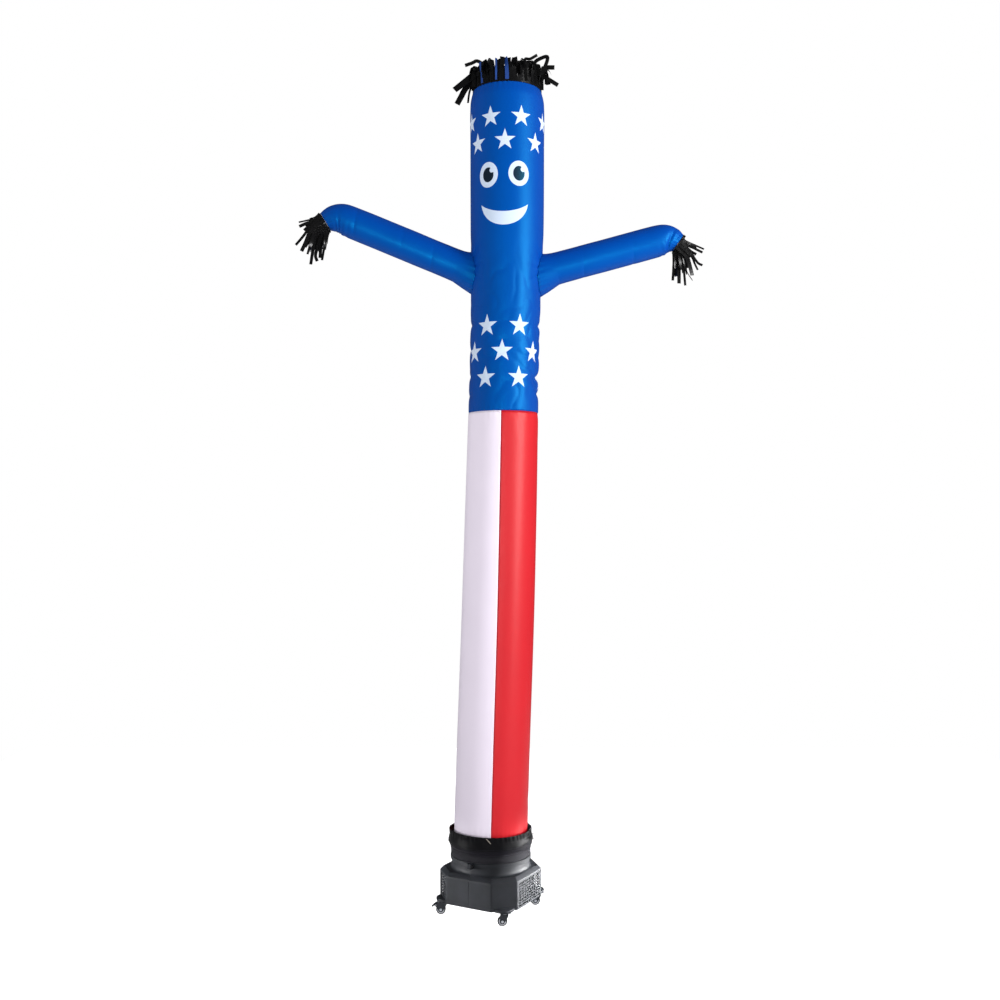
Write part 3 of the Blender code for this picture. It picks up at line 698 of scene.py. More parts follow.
@dataclass(frozen=True)
class Metal(Finish):
    """Pressed or turned metal: zinc plated bright, or coated dark, with faint marks of its making."""

    name: str
    slot: str
    colour: str
    dull: str
    roughness: float
    metallic: float = 1.0
    marks: float = 900.0

    def dress(self, tree: Tree, shader: Node) -> None:
        """Fine scratches that change the roughness a little."""
        set_shader(shader, Metallic=self.metallic)
        marks = mottled(tree, self.marks)
        two_tone(tree, shader, marks, self.colour, self.dull)
        spread = {"Value": marks, "To Min": self.roughness - 0.06, "To Max": self.roughness + 0.1}
        rough = add_node(tree, "MapRange", spread)
        tree.links.new(rough.outputs[0], shader.inputs["Roughness"])


@dataclass(frozen=True)
class HookTape(Finish):
    """Woven hook tape: a matt black ground with rows of stiff nylon hooks about 1.6 mm apart."""

    name: str = "nylon_hook_tape_woven"
    slot: str = "black"
    spacing: float = 0.0016

    def dress(self, tree: Tree, shader: Node) -> None:
        """Dots for the hooks on a dark ground."""
        set_shader(shader, Roughness=0.82, IOR=1.5, Specular_IOR_Level=0.25)
        body = add_node(tree, "TexCoord").outputs["Object"]
        hooks = add_node(tree, "TexVoronoi", {"Vector": body, "Scale": 1 / self.spacing}).outputs["Distance"]
        two_tone(tree, shader, hooks, "1e1d24", "0c0c10")
        emboss(tree, shader, hooks, 0.7, 0.0006, invert=True)


@dataclass(frozen=True)
class Paper(Finish):
    """The studio's floor: matt white paper."""

    name: str = "matt_white_paper"
    slot: str = ""
    glow: float = 0.85  # keeps the paper white where it is looked at, without lighting the object from below

    def dress(self, tree: Tree, shader: Node) -> None:
        """White with the faintest tooth."""
        set_shader(shader, Roughness=0.9, Specular_IOR_Level=0.1, Emission_Color=linear("ffffff"))
        seen = add_node(tree, "LightPath").outputs["Is Camera Ray"]
        glow = maths(tree, "MULTIPLY", seen, self.glow)
        tree.links.new(glow, shader.inputs["Emission Strength"])
        two_tone(tree, shader, mottled(tree, 3.0), "cfcfd1", "d3d3d5")


BLUE_CLOTH = {"roughness": 0.42, "stitch": "0a3f9a", "gloss": 1.0, "gleam": "20c8ff"}
BLUE = PrintedNylon("blue_coated_nylon_printed", "blue", "0043a6", "003d9e", **BLUE_CLOTH)
ARM_BLUE = CoatedNylon("blue_coated_nylon", "blue", "0043a6", "003d9e", **BLUE_CLOTH)
WHITE = CoatedNylon(
    "white_coated_nylon", "white", "f1e7f6", "ebe1f0", roughness=0.5, stitch="cfcad8", gloss=0.3
)
RED = CoatedNylon("red_coated_nylon", "red", "cf1020", "c60e1e", stitch="a80c1e", gloss=0.6, gleam="ffd4d0")
CUFF_BLACK = CoatedNylon(
    "black_coated_nylon_gathered", "black", "0c0c0f", "060608", stitch="1e1e24", roughness=0.45, gloss=0.09
)
LINING = CoatedNylon(
    "dark_nylon_lining", "black", "15141a", "100f14",
    stitch="24232a", roughness=0.46, gloss=0.1, ripple_depth=0.0015,
)
# Each ribbon's second colour is painted highlight on the crinkle's crests, and its first is painted shade in
# its hollows.
RIBBON = RibbonNylon("black_nylon_ribbon_cut", "black", "030304", "09090b")
BLUE_RIBBON = RibbonNylon("blue_nylon_ribbon_cut", "blue", "08235c", "2a55a8")
HOOKS = HookTape()
HOUSING_ABS = Moulded("abs_dark_grey_spark_eroded", "plastic", "1a1c20", "222429", 0.56)
BLACK_NYLON = Moulded("nylon_black_moulded", "lever", "070709", "0c0c0f", 0.45)
TYRE_RUBBER = Moulded("rubber_black_moulded", "tyre", "0d0d0f", "141417", 0.62, depth=0.35)
PALE_CORE = Moulded("polypropylene_pale_moulded", "core", "c9cbd0", "b9bcc2", 0.4, depth=0.1)
DARK_STEEL = Metal("steel_pressed_dark_coated", "steel", "2e3136", "24262b", 0.42, metallic=0.5)
BLACK_WIRE = Metal("steel_wire_black_coated", "wire", "1b1b1f", "121215", 0.33, metallic=0.2)
ZINC = Metal("steel_zinc_plated_turned", "zinc", "d8dbe0", "b9bdc4", 0.28)
WEBBING = CoatedNylon(
    "grey_webbing_woven", "black", "8c857c", "6f6a63", thread=0.002, roughness=0.8, stitch="5a554e"
)


# ---- the inflated tube
@dataclass(frozen=True)
class Buckle:
    """A crease where the tube gives way sideways: a sharp fold between two soft pillows."""

    z: float
    facing: float
    deep: float
    high: float
    wide: float
    slant: float = 0.0  # how far it climbs, in metres, from its middle to its end

    def at(self, facing: float, z: float) -> float:
        """How far it presses the cloth in at a place."""
        off = apart(facing, self.facing) / self.wide
        if abs(off) >= 1:
            return 0.0
        line = self.z + self.slant * off - 0.010 * off * off  # its ends hang a little lower than its middle
        away = abs(z - line) / self.high
        return self.deep * math.cos(math.radians(90 * off)) ** 2 * math.exp(-(away**1.25))


@dataclass(frozen=True)
class TubeShape:
    """The tube's axis and radius by height, and everything that creases it."""

    axis: Pairs = (
        (0.308, -0.0370), (0.620, -0.0275), (1.156, -0.0090), (1.600, 0.0035), (1.982, 0.0128),
        (2.430, 0.0230), (2.660, 0.0280), (3.050, 0.0290), (3.215, 0.0290), (3.264, 0.0285),
    )
    radii: Pairs = (
        (0.308, 0.1474), (0.620, 0.1468), (1.156, 0.1454), (1.600, 0.1432), (1.982, 0.1408),
        (2.430, 0.1415), (2.660, 0.1467), (3.050, 0.1480), (3.215, 0.1475), (3.264, 0.1372),
    )
    buckles: tuple[Buckle, ...] = (
        Buckle(2.333, 5, 0.0075, 0.014, 62, 0.012),
        Buckle(2.262, 14, 0.0040, 0.012, 44, -0.026),
        Buckle(2.196, -16, 0.0046, 0.012, 46, 0.030),
        Buckle(2.124, -4, 0.0125, 0.015, 60, 0.020),
        Buckle(2.088, -22, 0.0040, 0.010, 34, -0.030),
        Buckle(2.056, 8, 0.0100, 0.013, 54, -0.016),
        Buckle(2.333, 184, 0.0075, 0.012, 42, 0.008),
        Buckle(2.232, 176, 0.0030, 0.012, 36, 0.010),
        Buckle(2.128, 176, 0.0062, 0.012, 44, -0.010),
        Buckle(2.050, 190, 0.0030, 0.011, 34),
        Buckle(2.225, 75, 0.0052, 0.018, 60, 0.014),
        Buckle(2.100, 104, 0.0045, 0.016, 50, -0.018),
        Buckle(2.420, 40, 0.0030, 0.016, 40, 0.016),
        Buckle(0.520, 150, 0.0022, 0.020, 60, 0.02),
        Buckle(0.432, 20, 0.0026, 0.018, 50, -0.02),
    )
    hem: float = 0.308
    waist: float = 1.982
    crown: float = 3.264
    puckers: int = 46
    arm_roots: Pairs = ((0.0, 2.545), (180.0, 2.549))  # facing, height
    by_arms: float = 0.145  # the tube's radius beside the arms
    waist_line: Pair = (0.0009, 0.004)  # depth and reach of the line at the waist
    ripple: Triple = (0.0011, 2.2, 1.1)  # depth, grain round the tube, grain upwards
    crumple: Triple = (0.0042, 2.6, 13.0)  # the same for the crumpled part
    crumple_edge: float = 0.42  # where the noise is nearer to 0 than this, the cloth folds
    crumpled_at: Pair = (2.17, 0.20)  # height and reach of the crumpled part
    creased_at: Pair = (2.50, 0.10)  # height and reach of the creases under the arms
    rays: Triple = (0.0026, 0.078, 0.045)  # depth, middle and reach round each arm

    def centre(self, z: float) -> float:
        """The axis's X at a height."""
        return smooth_at(self.axis, z)

    def radius(self, z: float) -> float:
        """The plain radius at a height."""
        return smooth_at(self.radii, z)

    def crease(self, facing: float, z: float) -> float:
        """How far the cloth lies inside the plain tube at a place, from buckles, puckers and ripples."""
        a = math.radians(facing)
        deep = sum(b.at(facing, z) for b in self.buckles)
        uneven = 0.6 + 0.4 * math.sin(3 * a + 1.0)
        gather = 0.5 + 0.5 * math.sin(self.puckers * a + 1.3 * math.sin(5 * a))
        sewn = ((self.crown, 0.030, 0.0022), (self.hem, 0.045, 0.0018), (self.waist, 0.022, 0.0011))
        for edge, reach, size in sewn:
            deep += size * gather * uneven * fade(z - edge, reach)
        line, reach = self.waist_line
        deep += line * fade(z - self.waist, reach)
        size, grain, upwards = self.ripple
        deep += size * (1 + noise.noise(round_z(facing, grain, upwards * z)))
        (low, low_reach), (high, high_reach) = self.crumpled_at, self.creased_at
        crumpled = fade(z - low, low_reach) * (0.45 + 0.55 * math.cos(a / 2) ** 2)
        crumpled += 0.4 * fade(z - high, high_reach)
        if crumpled > 0.02:
            size, grain, upwards = self.crumple
            fold = max(0.0, self.crumple_edge - abs(noise.noise(round_z(facing, grain, upwards * z)))) ** 1.5
            deep += size * crumpled * fold / self.crumple_edge**1.5
        size, middle, reach = self.rays
        for root_facing, root_z in self.arm_roots:
            off = math.radians(apart(facing, root_facing)) * self.by_arms
            rise = z - root_z
            out = math.hypot(off, rise)
            if 0.05 < out < 0.24:
                spoke = math.atan2(rise, off)
                ray = max(0.0, math.sin(9 * spoke + 2 * math.sin(2 * spoke)))
                deep += size * ray**2 * fade(out - middle, reach)
        return deep

    def point(self, facing: float, z: float, inward: float = 0.0) -> Vector:
        """A point on the cloth, or that far inside it."""
        r = self.radius(z) - self.crease(facing, z) - inward
        return round_z(facing, r, z, self.centre(z))


TUBE = TubeShape()


# ---- cloth pieces
@dataclass
class Body:
    """The printed blue tube and the four panels under it, each cut flat and rolled up."""

    art: Artwork = field(default_factory=Artwork)
    nylon: float = 0.0009
    columns: int = 176
    rows: int = 228
    panel_columns: int = 42
    panel_rows: int = 150
    # how far the front seam wanders round from the middle, in degrees, by height
    seam_drift: Pairs = ((0.308, 0.4), (1.156, -1.1), (1.982, -3.5))
    panels: tuple[tuple[str, float, CoatedNylon], ...] = (
        ("panel_white_front", 180.0, WHITE), ("panel_red_front", 270.0, RED),
        ("panel_white_back", 0.0, WHITE), ("panel_red_back", 90.0, RED),
    )
    hole: float = 0.060  # the air hole into each arm

    def mark_seams(self, mesh: BMesh, edges: list[tuple[str, float]]) -> None:
        """Stores how far each point of a flat sheet is from a seam, and how far along it.

        Args:
            mesh: the flat sheet.
            edges: the seams, each "u" or "v" and its place.
        """
        away = mesh.verts.layers.float.new("from_seam")
        along = mesh.verts.layers.float.new("along_seam")
        for vert in mesh.verts:
            near = min((abs((vert.co.x if way == "u" else vert.co.y) - at), way) for way, at in edges)
            vert[away] = min(near[0], 0.03)
            vert[along] = vert.co.y if near[1] == "u" else vert.co.x

    def upper(self) -> Object:
        """The blue tube: face and stars in front, open at the crown, with a hole into each arm."""
        r = self.art.cloth_radius
        width, height = FULL_TURN * r, TUBE.crown - TUBE.waist - CLOTH_GAP
        low = TUBE.waist + CLOTH_GAP
        sheet = flat_sheet(width, height, self.columns, self.rows, low, -width / 2)
        self.art.map_stars(sheet)
        self.mark_seams(sheet, [("u", -width / 2), ("u", width / 2), ("v", low), ("v", TUBE.crown)])
        gone = []
        for face in sheet.faces:
            place = face.calc_center_median()
            for facing, z in TUBE.arm_roots:
                off = apart(math.degrees(place.x / r) + FRONT, facing)
                if math.hypot(math.radians(off) * r, place.y - z) < self.hole:
                    gone.append(face)
        bmesh.ops.delete(sheet, geom=gone, context="FACES")
        shape_sheet(sheet, lambda u, v: TUBE.point(math.degrees(u / r) + FRONT, v))
        made = piece("blue_tube", sheet, BLUE, stands_for=["upper_tube"], sharp=80)
        thicken(made, self.nylon)
        return made

    def lower(self) -> list[Object]:
        """The white and red quarters, sewn to each other, to the blue tube and into the cuff."""
        made = []
        r = TUBE.radius(1.0)
        gap = math.degrees(CLOTH_GAP / 2 / r)
        for name, start, nylon in self.panels:
            first, wide = start + gap, 90 - 2 * gap
            width, height = math.radians(wide) * r, TUBE.waist - TUBE.hem
            sheet = flat_sheet(width, height, self.panel_columns, self.panel_rows, TUBE.hem, 0.0)
            self.mark_seams(sheet, [("u", 0.0), ("u", width), ("v", TUBE.waist)])

            def surface(
                u: float, v: float, first: float = first, wide: float = wide, width: float = width
            ) -> Vector:
                """Rolls the quarter round the tube, with a fine ridge where its edge is felled."""
                edge = min(u, width - u)
                ridge = 0.0007 * fade(edge - 0.004, 0.003) - 0.0009 * fade(edge, 0.0016)
                return TUBE.point(first + smooth_at(self.seam_drift, v) + wide * u / width, v, -ridge)

            shape_sheet(sheet, surface)
            quarter = piece(f"cloth_{name}", sheet, nylon, stands_for=[name], sharp=80)
            thicken(quarter, self.nylon)
            made.append(quarter)
        return made


class Side(Enum):
    """Which arm, as the sign of X."""

    LEFT = -1
    RIGHT = 1


@dataclass
class Arm:
    """One arm: a straight rise, a bend down at the wrist, and a gathered open hand."""

    side: Side
    root_z: float
    rise: float
    reach: float
    turn: float
    bend: float
    radii: Pairs = (
        (0.00, 0.0715), (0.08, 0.0655), (0.16, 0.0638), (0.80, 0.0632),
        (0.88, 0.0610), (0.95, 0.0520), (1.00, 0.0400),
    )
    gusset: float = 0.009  # how far the underside flares where it meets the tube
    dents: tuple[tuple[float, float, float, float], ...] = ()  # share, angle round, depth, spread
    root_in: float = 0.140
    puckers: int = 22
    # the gathers at both ends: share of the length, depth and reach
    sewn: tuple[Triple, ...] = ((0.0, 0.0022, 0.035), (1.0, 0.0016, 0.045))
    # the wrist's folds: how far along from the bend's start, and how deep
    folds: Pairs = (
        (-0.030, 0.0018), (0.010, 0.0030), (0.045, 0.0026), (0.080, 0.0020),
    )
    fold_width: float = 0.013
    fold_slant: float = 0.014
    gusset_reach: float = 0.058  # in metres; the folds above are in shares of the arm's length
    nylon: float = 0.0009
    columns: int = 96
    rows: int = 180
    seed: int = 3

    @property
    def length(self) -> float:
        """From the root to the hand along the arm's middle."""
        return self.reach + math.radians(self.turn) * self.bend

    def axis_at(self, share: float) -> tuple[Vector, Vector]:
        """The arm's middle and its heading at a share of its length."""
        sign, rise = self.side.value, math.radians(self.rise)
        along = share * self.length
        straight = min(along, self.reach)
        x, z, heading = straight * math.cos(rise), straight * math.sin(rise), rise
        if along > self.reach:
            heading = rise - (along - self.reach) / self.bend
            x += self.bend * (math.sin(rise) - math.sin(heading))
            z += self.bend * (math.cos(heading) - math.cos(rise))
        start = TUBE.centre(self.root_z) + sign * self.root_in
        ahead = Vector((sign * math.cos(heading), 0, math.sin(heading)))
        return Vector((start + sign * x, 0, self.root_z + z)), ahead

    def up_at(self, ahead: Vector) -> Vector:
        """The way that is up across the arm where it heads that way."""
        return Vector((-ahead.z * self.side.value, 0, ahead.x * self.side.value))

    def crease(self, round_: float, share: float) -> float:
        """How far the cloth is drawn in: root puckers, wrist folds and gathers at the hand.

        Args:
            round_: the angle round the arm, 0 towards the viewer's far side and pi / 2 up.
            share: the share of the arm's length.

        Returns:
            Metres inwards.
        """
        gather = 0.5 + 0.5 * math.sin(self.puckers * round_ + 1.2 * math.sin(3 * round_))
        deep = sum(size * gather * fade(share - at, reach) for at, size, reach in self.sewn)
        under = max(0.0, -math.sin(round_)) ** 1.3  # the inside of the wrist's bend
        knee = self.reach / self.length
        slant = self.fold_slant * math.sin(round_ * 2 + self.seed)
        for offset, size in self.folds:
            deep += size * under * fade(share - knee - offset - slant, self.fold_width)
        for at, facing, size, spread in self.dents:
            near = math.cos((round_ - facing) / 2) ** 8
            deep += size * near * math.exp(-((abs(share - at - 0.02 * math.sin(round_)) / spread) ** 1.3))
        deep -= self.gusset * under * max(0.0, 1 - share * self.length / self.gusset_reach)
        place = Vector((2 * math.cos(round_), 2 * math.sin(round_), 6 * share + self.seed))
        return deep + 0.0007 * (1 + noise.noise(place))

    def surface(self, u: float, v: float) -> Vector:
        """The place of flat point (u, v): u round the arm, v along it."""
        share = v / self.length
        round_ = u / self.radii[2][1]
        middle, ahead = self.axis_at(share)
        sign = self.side.value
        up = self.up_at(ahead)
        r = smooth_at(self.radii, share) - self.crease(round_, share)
        spot = middle + up * (r * math.sin(round_)) + Vector((0, r * math.cos(round_), 0))
        settle = max(0.0, 1 - share / 0.14) ** 2  # near the root the rings follow the tube's side
        if settle:
            aside = spot.x - TUBE.centre(spot.z)
            facing = math.degrees(math.atan2(spot.y, aside))
            wall = TUBE.radius(spot.z) - TUBE.crease(facing, spot.z) + CLOTH_GAP
            root = TUBE.centre(spot.z) + sign * math.sqrt(max(wall**2 - spot.y**2, 1e-6))
            start = TUBE.centre(self.root_z) + sign * self.root_in + (spot - middle).x
            spot += ahead * ((root - start) / ahead.x * settle)
        return spot

    def build(self) -> Object:
        """Cuts, rolls and dresses the arm."""
        name = self.side.name.lower()
        width = FULL_TURN * self.radii[2][1]
        sheet = flat_sheet(width, self.length, self.columns, self.rows)
        Body().mark_seams(sheet, [("u", 0.0), ("u", width), ("v", 0.0), ("v", self.length)])
        turn = math.radians(-60) * self.radii[2][1]
        shape_sheet(sheet, lambda u, v: self.surface(u + turn, v))
        made = piece(f"cloth_arm_{name}", sheet, ARM_BLUE, stands_for=[f"arm_{name}"], sharp=80)
        thicken(made, self.nylon)
        return made


@dataclass
class Streamer:
    """One cut ribbon: the points that its middle runs through, how wide it is and how far it turns."""

    points: list[Vector]
    side: Vector
    width: float
    twist: float = 0.0
    faces: Vector | None = None  # where it lies flat: the way that its face looks all along

    def at(self, share: float) -> Vector:
        """The ribbon's middle at a share of its run, on a smooth curve through its points."""
        place = share * (len(self.points) - 1)
        tracks = [[(k, point[axis]) for k, point in enumerate(self.points)] for axis in range(3)]
        return Vector([smooth_at(track, place) for track in tracks])

    def draw(self, mesh: BMesh, steps: int = 14) -> None:
        """Extrudes the ribbon from its first edge, and keeps it from spinning as it bends.

        Args:
            mesh: the mesh that it is added to.
            steps: how many lengths it is made of.
        """
        side, edge = self.side, None
        for step in range(steps + 1):
            share = step / steps
            middle = self.at(share)
            way = (self.at(min(1.0, share + 0.02)) - self.at(max(0.0, share - 0.02))).normalized()
            side = way.cross(self.faces) if self.faces else side - way * side.dot(way)
            side = side.normalized()
            swing = Matrix.Rotation(self.twist * share**1.5, 3, way)
            half = swing @ side * (self.width * (0.5 - 0.05 * share))
            if edge is None:
                first, second = mesh.verts.new(middle - half), mesh.verts.new(middle + half)
                edge = mesh.edges.new((first, second))
                continue
            grown = bmesh.ops.extrude_edge_only(mesh, edges=[edge])["geom"]
            new = [part for part in grown if isinstance(part, bmesh.types.BMVert)]
            edges = [part for part in grown if isinstance(part, bmesh.types.BMEdge)]
            edge = next(part for part in edges if all(v in new for v in part.verts))
            first, second = edge.verts
            if (first.co - second.co).dot(half) > 0:
                first, second = second, first
            first.co, second.co = middle - half, middle + half


@dataclass(frozen=True)
class Ribbon:
    """A ribbon as it shows from in front, in millimetres on the upright plane through the blower's middle."""

    width: float
    run: Pairs  # x and height, from its first bend to its tip
    root: float = 0.0  # x where a hair ribbon is sewn to the crown; a hand's ribbon finds its own

    def at(self, place: int, depth: float) -> Vector:
        """One point of its run in metres, carried along the line of sight to a depth.

        Args:
            place: which point of the run.
            depth: the Y that it is carried to.

        Returns:
            The point, which still shows from in front where the run has it.
        """
        x, z = self.run[place][0] / 1000, self.run[place][1] / 1000
        share = (VIEW_DISTANCE + depth) / VIEW_DISTANCE
        return Vector((x * share, depth, EYE_HEIGHT + (z - EYE_HEIGHT) * share))


def fringe(name: str, mesh: BMesh, finish: Finish, nodes: list[str]) -> Object:
    """Gives flat ribbons their thickness, with crisp cut edges, and makes them one piece."""
    bmesh.ops.solidify(mesh, geom=mesh.faces[:], thickness=0.0005)
    bmesh.ops.recalc_face_normals(mesh, faces=mesh.faces[:])
    return piece(name, mesh, finish, stands_for=nodes, sharp=62, tidy=False)


@dataclass
class HeadFringe:
    """Ribbons round the open crown, stiff enough to stand, then folded over or blown aside."""

    tall: float = 0.089
    band: float = 0.007
    seat: float = 0.002  # the ribbons start this far above the crown, inside the band
    tuck: float = 0.0006  # how far inside the cloth they are sewn
    seed: int = 7
    # how far each ring of ribbons is inside the band, how many it has, its lowest and highest share of
    # the full height, and the ribbons' width
    rings: tuple[tuple[float, int, float, float, float], ...] = (
        (0.0, 45, 0.80, 1.0, 0.019), (0.003, 45, 0.76, 0.99, 0.019), (0.009, 24, 0.6, 0.95, 0.015),
    )
    downwind_lean: float = 0.18  # how much further the ribbons lean on the side towards +X
    flop_share: float = 0.22  # this share of the inner ribbons at the back hangs outwards
    clearance: float = 3.2  # degrees kept free beside each blue ribbon
    # the ribbons that stand out beside the crown
    blown: tuple[Ribbon, ...] = (
        Ribbon(14.5, ((-74, 3369), (-76, 3384), (-94, 3392), (-111, 3384), (-140, 3374)), root=-85),
        Ribbon(30.0, ((-85, 3352), (-114, 3329), (-151, 3300), (-182, 3276)), root=-98),
        Ribbon(25.0, ((-94, 3318), (-122, 3300), (-142, 3275), (-154, 3252), (-172, 3219)), root=-105),
        Ribbon(9.0, ((-108, 3304), (-120, 3275), (-125, 3252), (-128, 3224)), root=-109),
        Ribbon(12.0, ((100, 3398), (120, 3400), (149, 3416)), root=100),
        Ribbon(15.5, ((138, 3386), (184, 3410), (189, 3395), (175, 3358), (164, 3338)), root=135),
        Ribbon(19.0, ((178, 3364), (192, 3366), (218, 3366)), root=160),
        Ribbon(17.5, ((166, 3339), (192, 3320), (232, 3295)), root=165),
    )
    # the blue ones: facing, width
    blue: Pairs = ((-136.0, 0.011), (-108.5, 0.008), (-90.5, 0.015))

    def swept(self, ribbon: Ribbon) -> list[Vector]:
        """The points of a ribbon that stands out, from its root on the front of the crown's band.

        Args:
            ribbon: how it shows from in front.

        Returns:
            The points from root to tip: it rises to its first bend, then swings a little nearer at each one.
        """
        centre, reach = TUBE.centre(TUBE.crown), TUBE.radius(TUBE.crown) + 0.0012
        x = ribbon.root / 1000
        depth = -math.sqrt(max(reach**2 - (x - centre) ** 2, 0.0))
        root = Vector((x, depth, TUBE.crown + CLOTH_GAP + self.seat))
        first = ribbon.at(0, depth)
        rising = Vector((x + (first.x - x) * 0.35, depth * 1.02, (root.z + first.z) / 2))
        return [root, rising] + [ribbon.at(k, depth * (1.04 + 0.03 * k)) for k in range(len(ribbon.run))]

    def rooted(self, facing: float, inset: float) -> tuple[Vector, Vector, Vector]:
        """Where a ribbon is sewn in, the way out from there, and the way along the crown's edge."""
        out = round_z(facing)
        base = Vector((TUBE.centre(TUBE.crown), 0, TUBE.crown + CLOTH_GAP + self.seat))
        root = base + out * (TUBE.radius(TUBE.crown) - self.tuck - inset)
        return root, out, Vector((-out.y, out.x, 0))

    def standing(
        self, facing: float, inset: float, tall: float, width: float, lean: float, chance: random.Random
    ) -> Streamer:
        """A ribbon that stands up from the crown and folds over at its top.

        Args:
            facing: where it is, in degrees round the crown.
            inset: how far inside the band it is rooted.
            tall: how high it stands.
            width: its width.
            lean: how far it leans out at its top, as a share of its height.
            chance: where its own small differences come from.

        Returns:
            The ribbon.
        """
        root, out, aside = self.rooted(facing, inset)
        tall -= self.seat
        fold = -1 if chance.random() < 0.55 else 1
        curl = chance.uniform(0.004, 0.008)
        tail = chance.uniform(0.014, 0.030) if fold < 0 else chance.uniform(0.018, 0.050)
        drift, reach = chance.uniform(-0.015, 0.015), lean * tall
        rows = [
            (0.0, 0.0, 0.0), (0.10 * reach, 0.34, 0.1), (0.42 * reach, 0.66, 0.4),
            (reach, 1.0 - 0.35 * curl / tall, 0.9), (reach + fold * curl, 1.0, 1.0),
            (reach + fold * curl * 2.1, 1.0 - curl / tall, 1.05),
            (reach + fold * curl * 2.6, 1.0 - tail / tall, 1.4),
        ]
        points = [
            root + out * away + Vector((0, 0, up * tall)) + aside * (drift * off) for away, up, off in rows
        ]
        return Streamer(points, aside, width, chance.uniform(-1.5, 1.5))

    def flopped(self, facing: float, width: float, chance: random.Random) -> Streamer:
        """A ribbon on the windward side that bends outwards and hangs.

        Args:
            facing: where it is, in degrees round the crown.
            width: its width.
            chance: where its own small differences come from.

        Returns:
            The ribbon.
        """
        place, out, aside = self.rooted(facing, 0.0)
        points = [place.copy()]
        first, last = chance.uniform(20, 55), chance.uniform(105, 150)
        length, steps = chance.uniform(0.085, 0.115), 7
        for step in range(steps):
            tilt = math.radians(first + (last - first) * (step / (steps - 1)) ** 1.2)
            place = place + (out * math.sin(tilt) + Vector((0, 0, math.cos(tilt)))) * (length / steps)
            points.append(place.copy())
        return Streamer(points, aside, width, chance.uniform(-0.7, 0.7))

    def build(self) -> None:
        """The sewn band with its rings of ribbons, and the few blue ones."""
        chance = random.Random(self.seed)
        base = TUBE.crown + CLOTH_GAP
        mesh = open_band(TUBE.radius(TUBE.crown) + 0.0008, self.band, 92)
        moved(mesh, Matrix.Translation((TUBE.centre(TUBE.crown), 0, base - 0.004)))
        skipped = [facing for facing, _ in self.blue]
        for inset, count, low, high, wide in self.rings:
            for k in range(count):
                facing = 360 * (k + chance.uniform(0.3, 0.7)) / count
                if not inset and min(abs(apart(facing, other)) for other in skipped) < self.clearance:
                    continue
                width = wide * chance.uniform(0.9, 1.05)
                if inset and math.sin(math.radians(facing)) > 0.75 and chance.random() < self.flop_share:
                    self.flopped(facing, width, chance).draw(mesh)
                else:
                    tall = self.tall * chance.uniform(low, high)
                    downwind = self.downwind_lean if math.cos(math.radians(facing)) > 0.9 else 0.0
                    lean = chance.uniform(-0.04, 0.10) + downwind
                    self.standing(facing, inset, tall, width, lean, chance).draw(mesh)
        for ribbon in self.blown:
            width, twist = ribbon.width / 1000, chance.uniform(-0.3, 0.3)
            Streamer(self.swept(ribbon), Vector((1, 0, 0)), width, twist, Vector((0, -1, 0))).draw(mesh, 24)
        fringe("hair_ribbons", mesh, RIBBON, ["head_fringe"])
        mesh = bmesh.new()
        for facing, width in self.blue:
            self.standing(facing, -self.tuck, self.tall * 0.97, width, 0.02, chance).draw(mesh)
        fringe("hair_ribbons_blue", mesh, BLUE_RIBBON, [])


